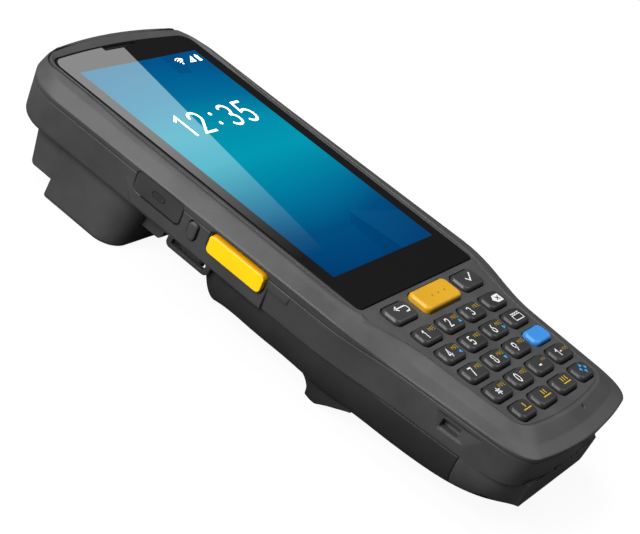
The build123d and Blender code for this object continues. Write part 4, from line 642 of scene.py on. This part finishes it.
menu += strokes(POST_LINE, *[[(x, 0.5), (x, 1.15)] for x in (-1.1, 0.0, 1.1)])
level = strokes(MEDIUM, [(-0.9, 0.5), (0.0, 1.2), (0.0, -1.2)], [(0.9, 0.0), (1.7, 0.0)])
dash_marks = moved(small_marks, 0, 0, DASH_MARKS_SCALE)
shift_marks = moved(small_marks, 0, 0, SHIFT_MARKS_SCALE)
LEGENDS = (
    # key, name, shapes, ink, place from the middle of the key, height over it
    ("key_star", "star_sign", star, white_ink, -0.9, -0.35),
    ("key_star", "star_marks", small_marks, amber_ink, MARKS_X, MARKS_Y),
    ("key_dash", "dash_sign", dash, white_ink, -1.0, -0.3),
    ("key_dash", "dash_marks", dash_marks, amber_ink, 2.4, 0.8),
    ("key_back", "back_sign", back, white_ink, 0.7, 0.2),
    ("key_ok", "tick_sign", tick, white_ink, 0.6, 0.3),
    ("key_scan", "scan_dots", dots, dark_ink, 0.4, -0.1),
    ("key_erase", "erase_sign", erase, white_ink, 0.9, -0.2),
    ("key_erase", "erase_cross", cross, looks["key_dark"], 0.9, -0.2, OVERPRINT_LIFT),
    ("key_menu", "menu_sign", menu, white_ink, 0.3, -0.1),
    ("key_shift", "level_sign", level, white_ink, -1.4, 0.0),
    ("key_shift", "level_marks", shift_marks, amber_ink, 2.5, 0.2),
)
for entry in LEGENDS:
    legend(*entry)

for count in (1, 2, 3):
    places = [(i - (count - 1) / 2) * BAR_STEP for i in range(count)]
    bars = stroke([(-1.9, -0.95), (1.9, -0.95)], BAR_BASE_LINE)
    bars += strokes(BAR_LINE, *[[(place, -0.25), (place, 0.95)] for place in places])
    legend("key_f%d" % count, "function_marks_%d" % count, bars, function_ink, 0.8, 0.35)

ring_of_arrows = []
for turn in (0, 90, 180, 270):
    place = RING_W * cos(radians(turn)), RING_H * sin(radians(turn))
    ring_of_arrows += moved(arrow_head(turn, RING_ARROW), *place)
legend("key_arrows", "arrow_signs", ring_of_arrows, blue_ink, 0.6, 0.2)

# ---- camera ----------------------------------------------------------------------------------------
CAMERA_PLACE = (-0.39219, SCREEN_Y * MM - 0.17547, 0.23773)    # metres, Y from the screen's middle
CAMERA_RIGHT = (0.5158, -0.7408, 0.4303)
CAMERA_UP = (0.2133, 0.5974, 0.7730)
CAMERA_BACK = (-0.8298, -0.3070, 0.4661)
SENSOR_W = 36.0
LENS = 100.9
CLIP_START = 0.01
camera_data = bpy.data.cameras.new("camera")
camera_data.sensor_width = SENSOR_W
camera_data.lens = LENS
camera_data.clip_start = CLIP_START
camera = bpy.data.objects.new("camera", camera_data)
bpy.context.scene.collection.objects.link(camera)
camera_turn = Matrix((CAMERA_RIGHT, CAMERA_UP, CAMERA_BACK)).transposed().to_4x4()
camera.matrix_world = Matrix.Translation(CAMERA_PLACE) @ camera_turn
bpy.context.scene.camera = camera

# ---- floor and world -------------------------------------------------------------------------------
# both look white to the camera and reflect darker tones onto the part
FLOOR_HALF = 6.0              # metres
FLOOR_TONE = (0.12, 0.12, 0.12, 1)
FLOOR_SHADOW = 0.07           # how much of the shadow the white floor shows
WORLD_TONE = (0.5, 0.5, 0.5, 1)
WORLD_STRENGTH = 0.08

floor_mesh = bpy.data.meshes.new("floor")
floor_corners = rectangle(-FLOOR_HALF, -FLOOR_HALF, FLOOR_HALF, FLOOR_HALF)
floor_mesh.from_pydata([(x, y, 0) for x, y in floor_corners], [], [(0, 1, 2, 3)])
floor = bpy.data.objects.new("floor", floor_mesh)
bpy.context.scene.collection.objects.link(floor)

n = new_nodes("floor_white")
n.fill(n.shader, Base_Color=FLOOR_TONE, Roughness=1.0, Specular_IOR_Level=0.0)
matt_white = n.add("ShaderNodeBsdfDiffuse", Color=WHITE).outputs[0]
seen_floor = n.mix_shaders(FLOOR_SHADOW, n.glow(WHITE), matt_white)
rays = n.add("ShaderNodeLightPath").outputs
seen = n.maths("MAXIMUM", rays["Is Camera Ray"], rays["Is Transmission Ray"])
n.feed(n.surface, n.mix_shaders(seen, n.shader.outputs[0], seen_floor))
floor_mesh.materials.append(n.owner)

world = bpy.data.worlds.new("studio")
bpy.context.scene.world = world
n = Nodes(world, "Background", "World Output")
n.fill(n.shader, Color=WORLD_TONE, Strength=WORLD_STRENGTH)
seen_world = n.add("ShaderNodeBackground", Color=WHITE, Strength=1.0).outputs[0]
seen = n.add("ShaderNodeLightPath").outputs["Is Camera Ray"]
n.feed(n.surface, n.mix_shaders(seen, n.shader.outputs[0], seen_world))

# ---- lamps -----------------------------------------------------------------------------------------
LAMPS = (
    # name, place, target and edge in metres, power in watts
    ("key_lamp", (-0.70, 0.16, 0.48), (0, 0, 0.02), 0.5, 11.0),
    ("top_lamp", (-0.12, 0.26, 0.78), (0, 0, 0.02), 0.4, 6.0),
    ("side_lamp", (0.50, -0.20, 0.68), (0, -0.03, 0.02), 0.4, 1.8),
)
for name, place, target, edge, power in LAMPS:
    lamp = bpy.data.lights.new(name, "AREA")
    lamp.size = edge
    lamp.energy = power
    holder = bpy.data.objects.new(name, lamp)
    bpy.context.scene.collection.objects.link(holder)
    holder.location = place
    holder.rotation_euler = (Vector(target) - Vector(place)).to_track_quat("-Z", "Y").to_euler()

bpy.context.scene.view_settings.view_transform = "Standard"
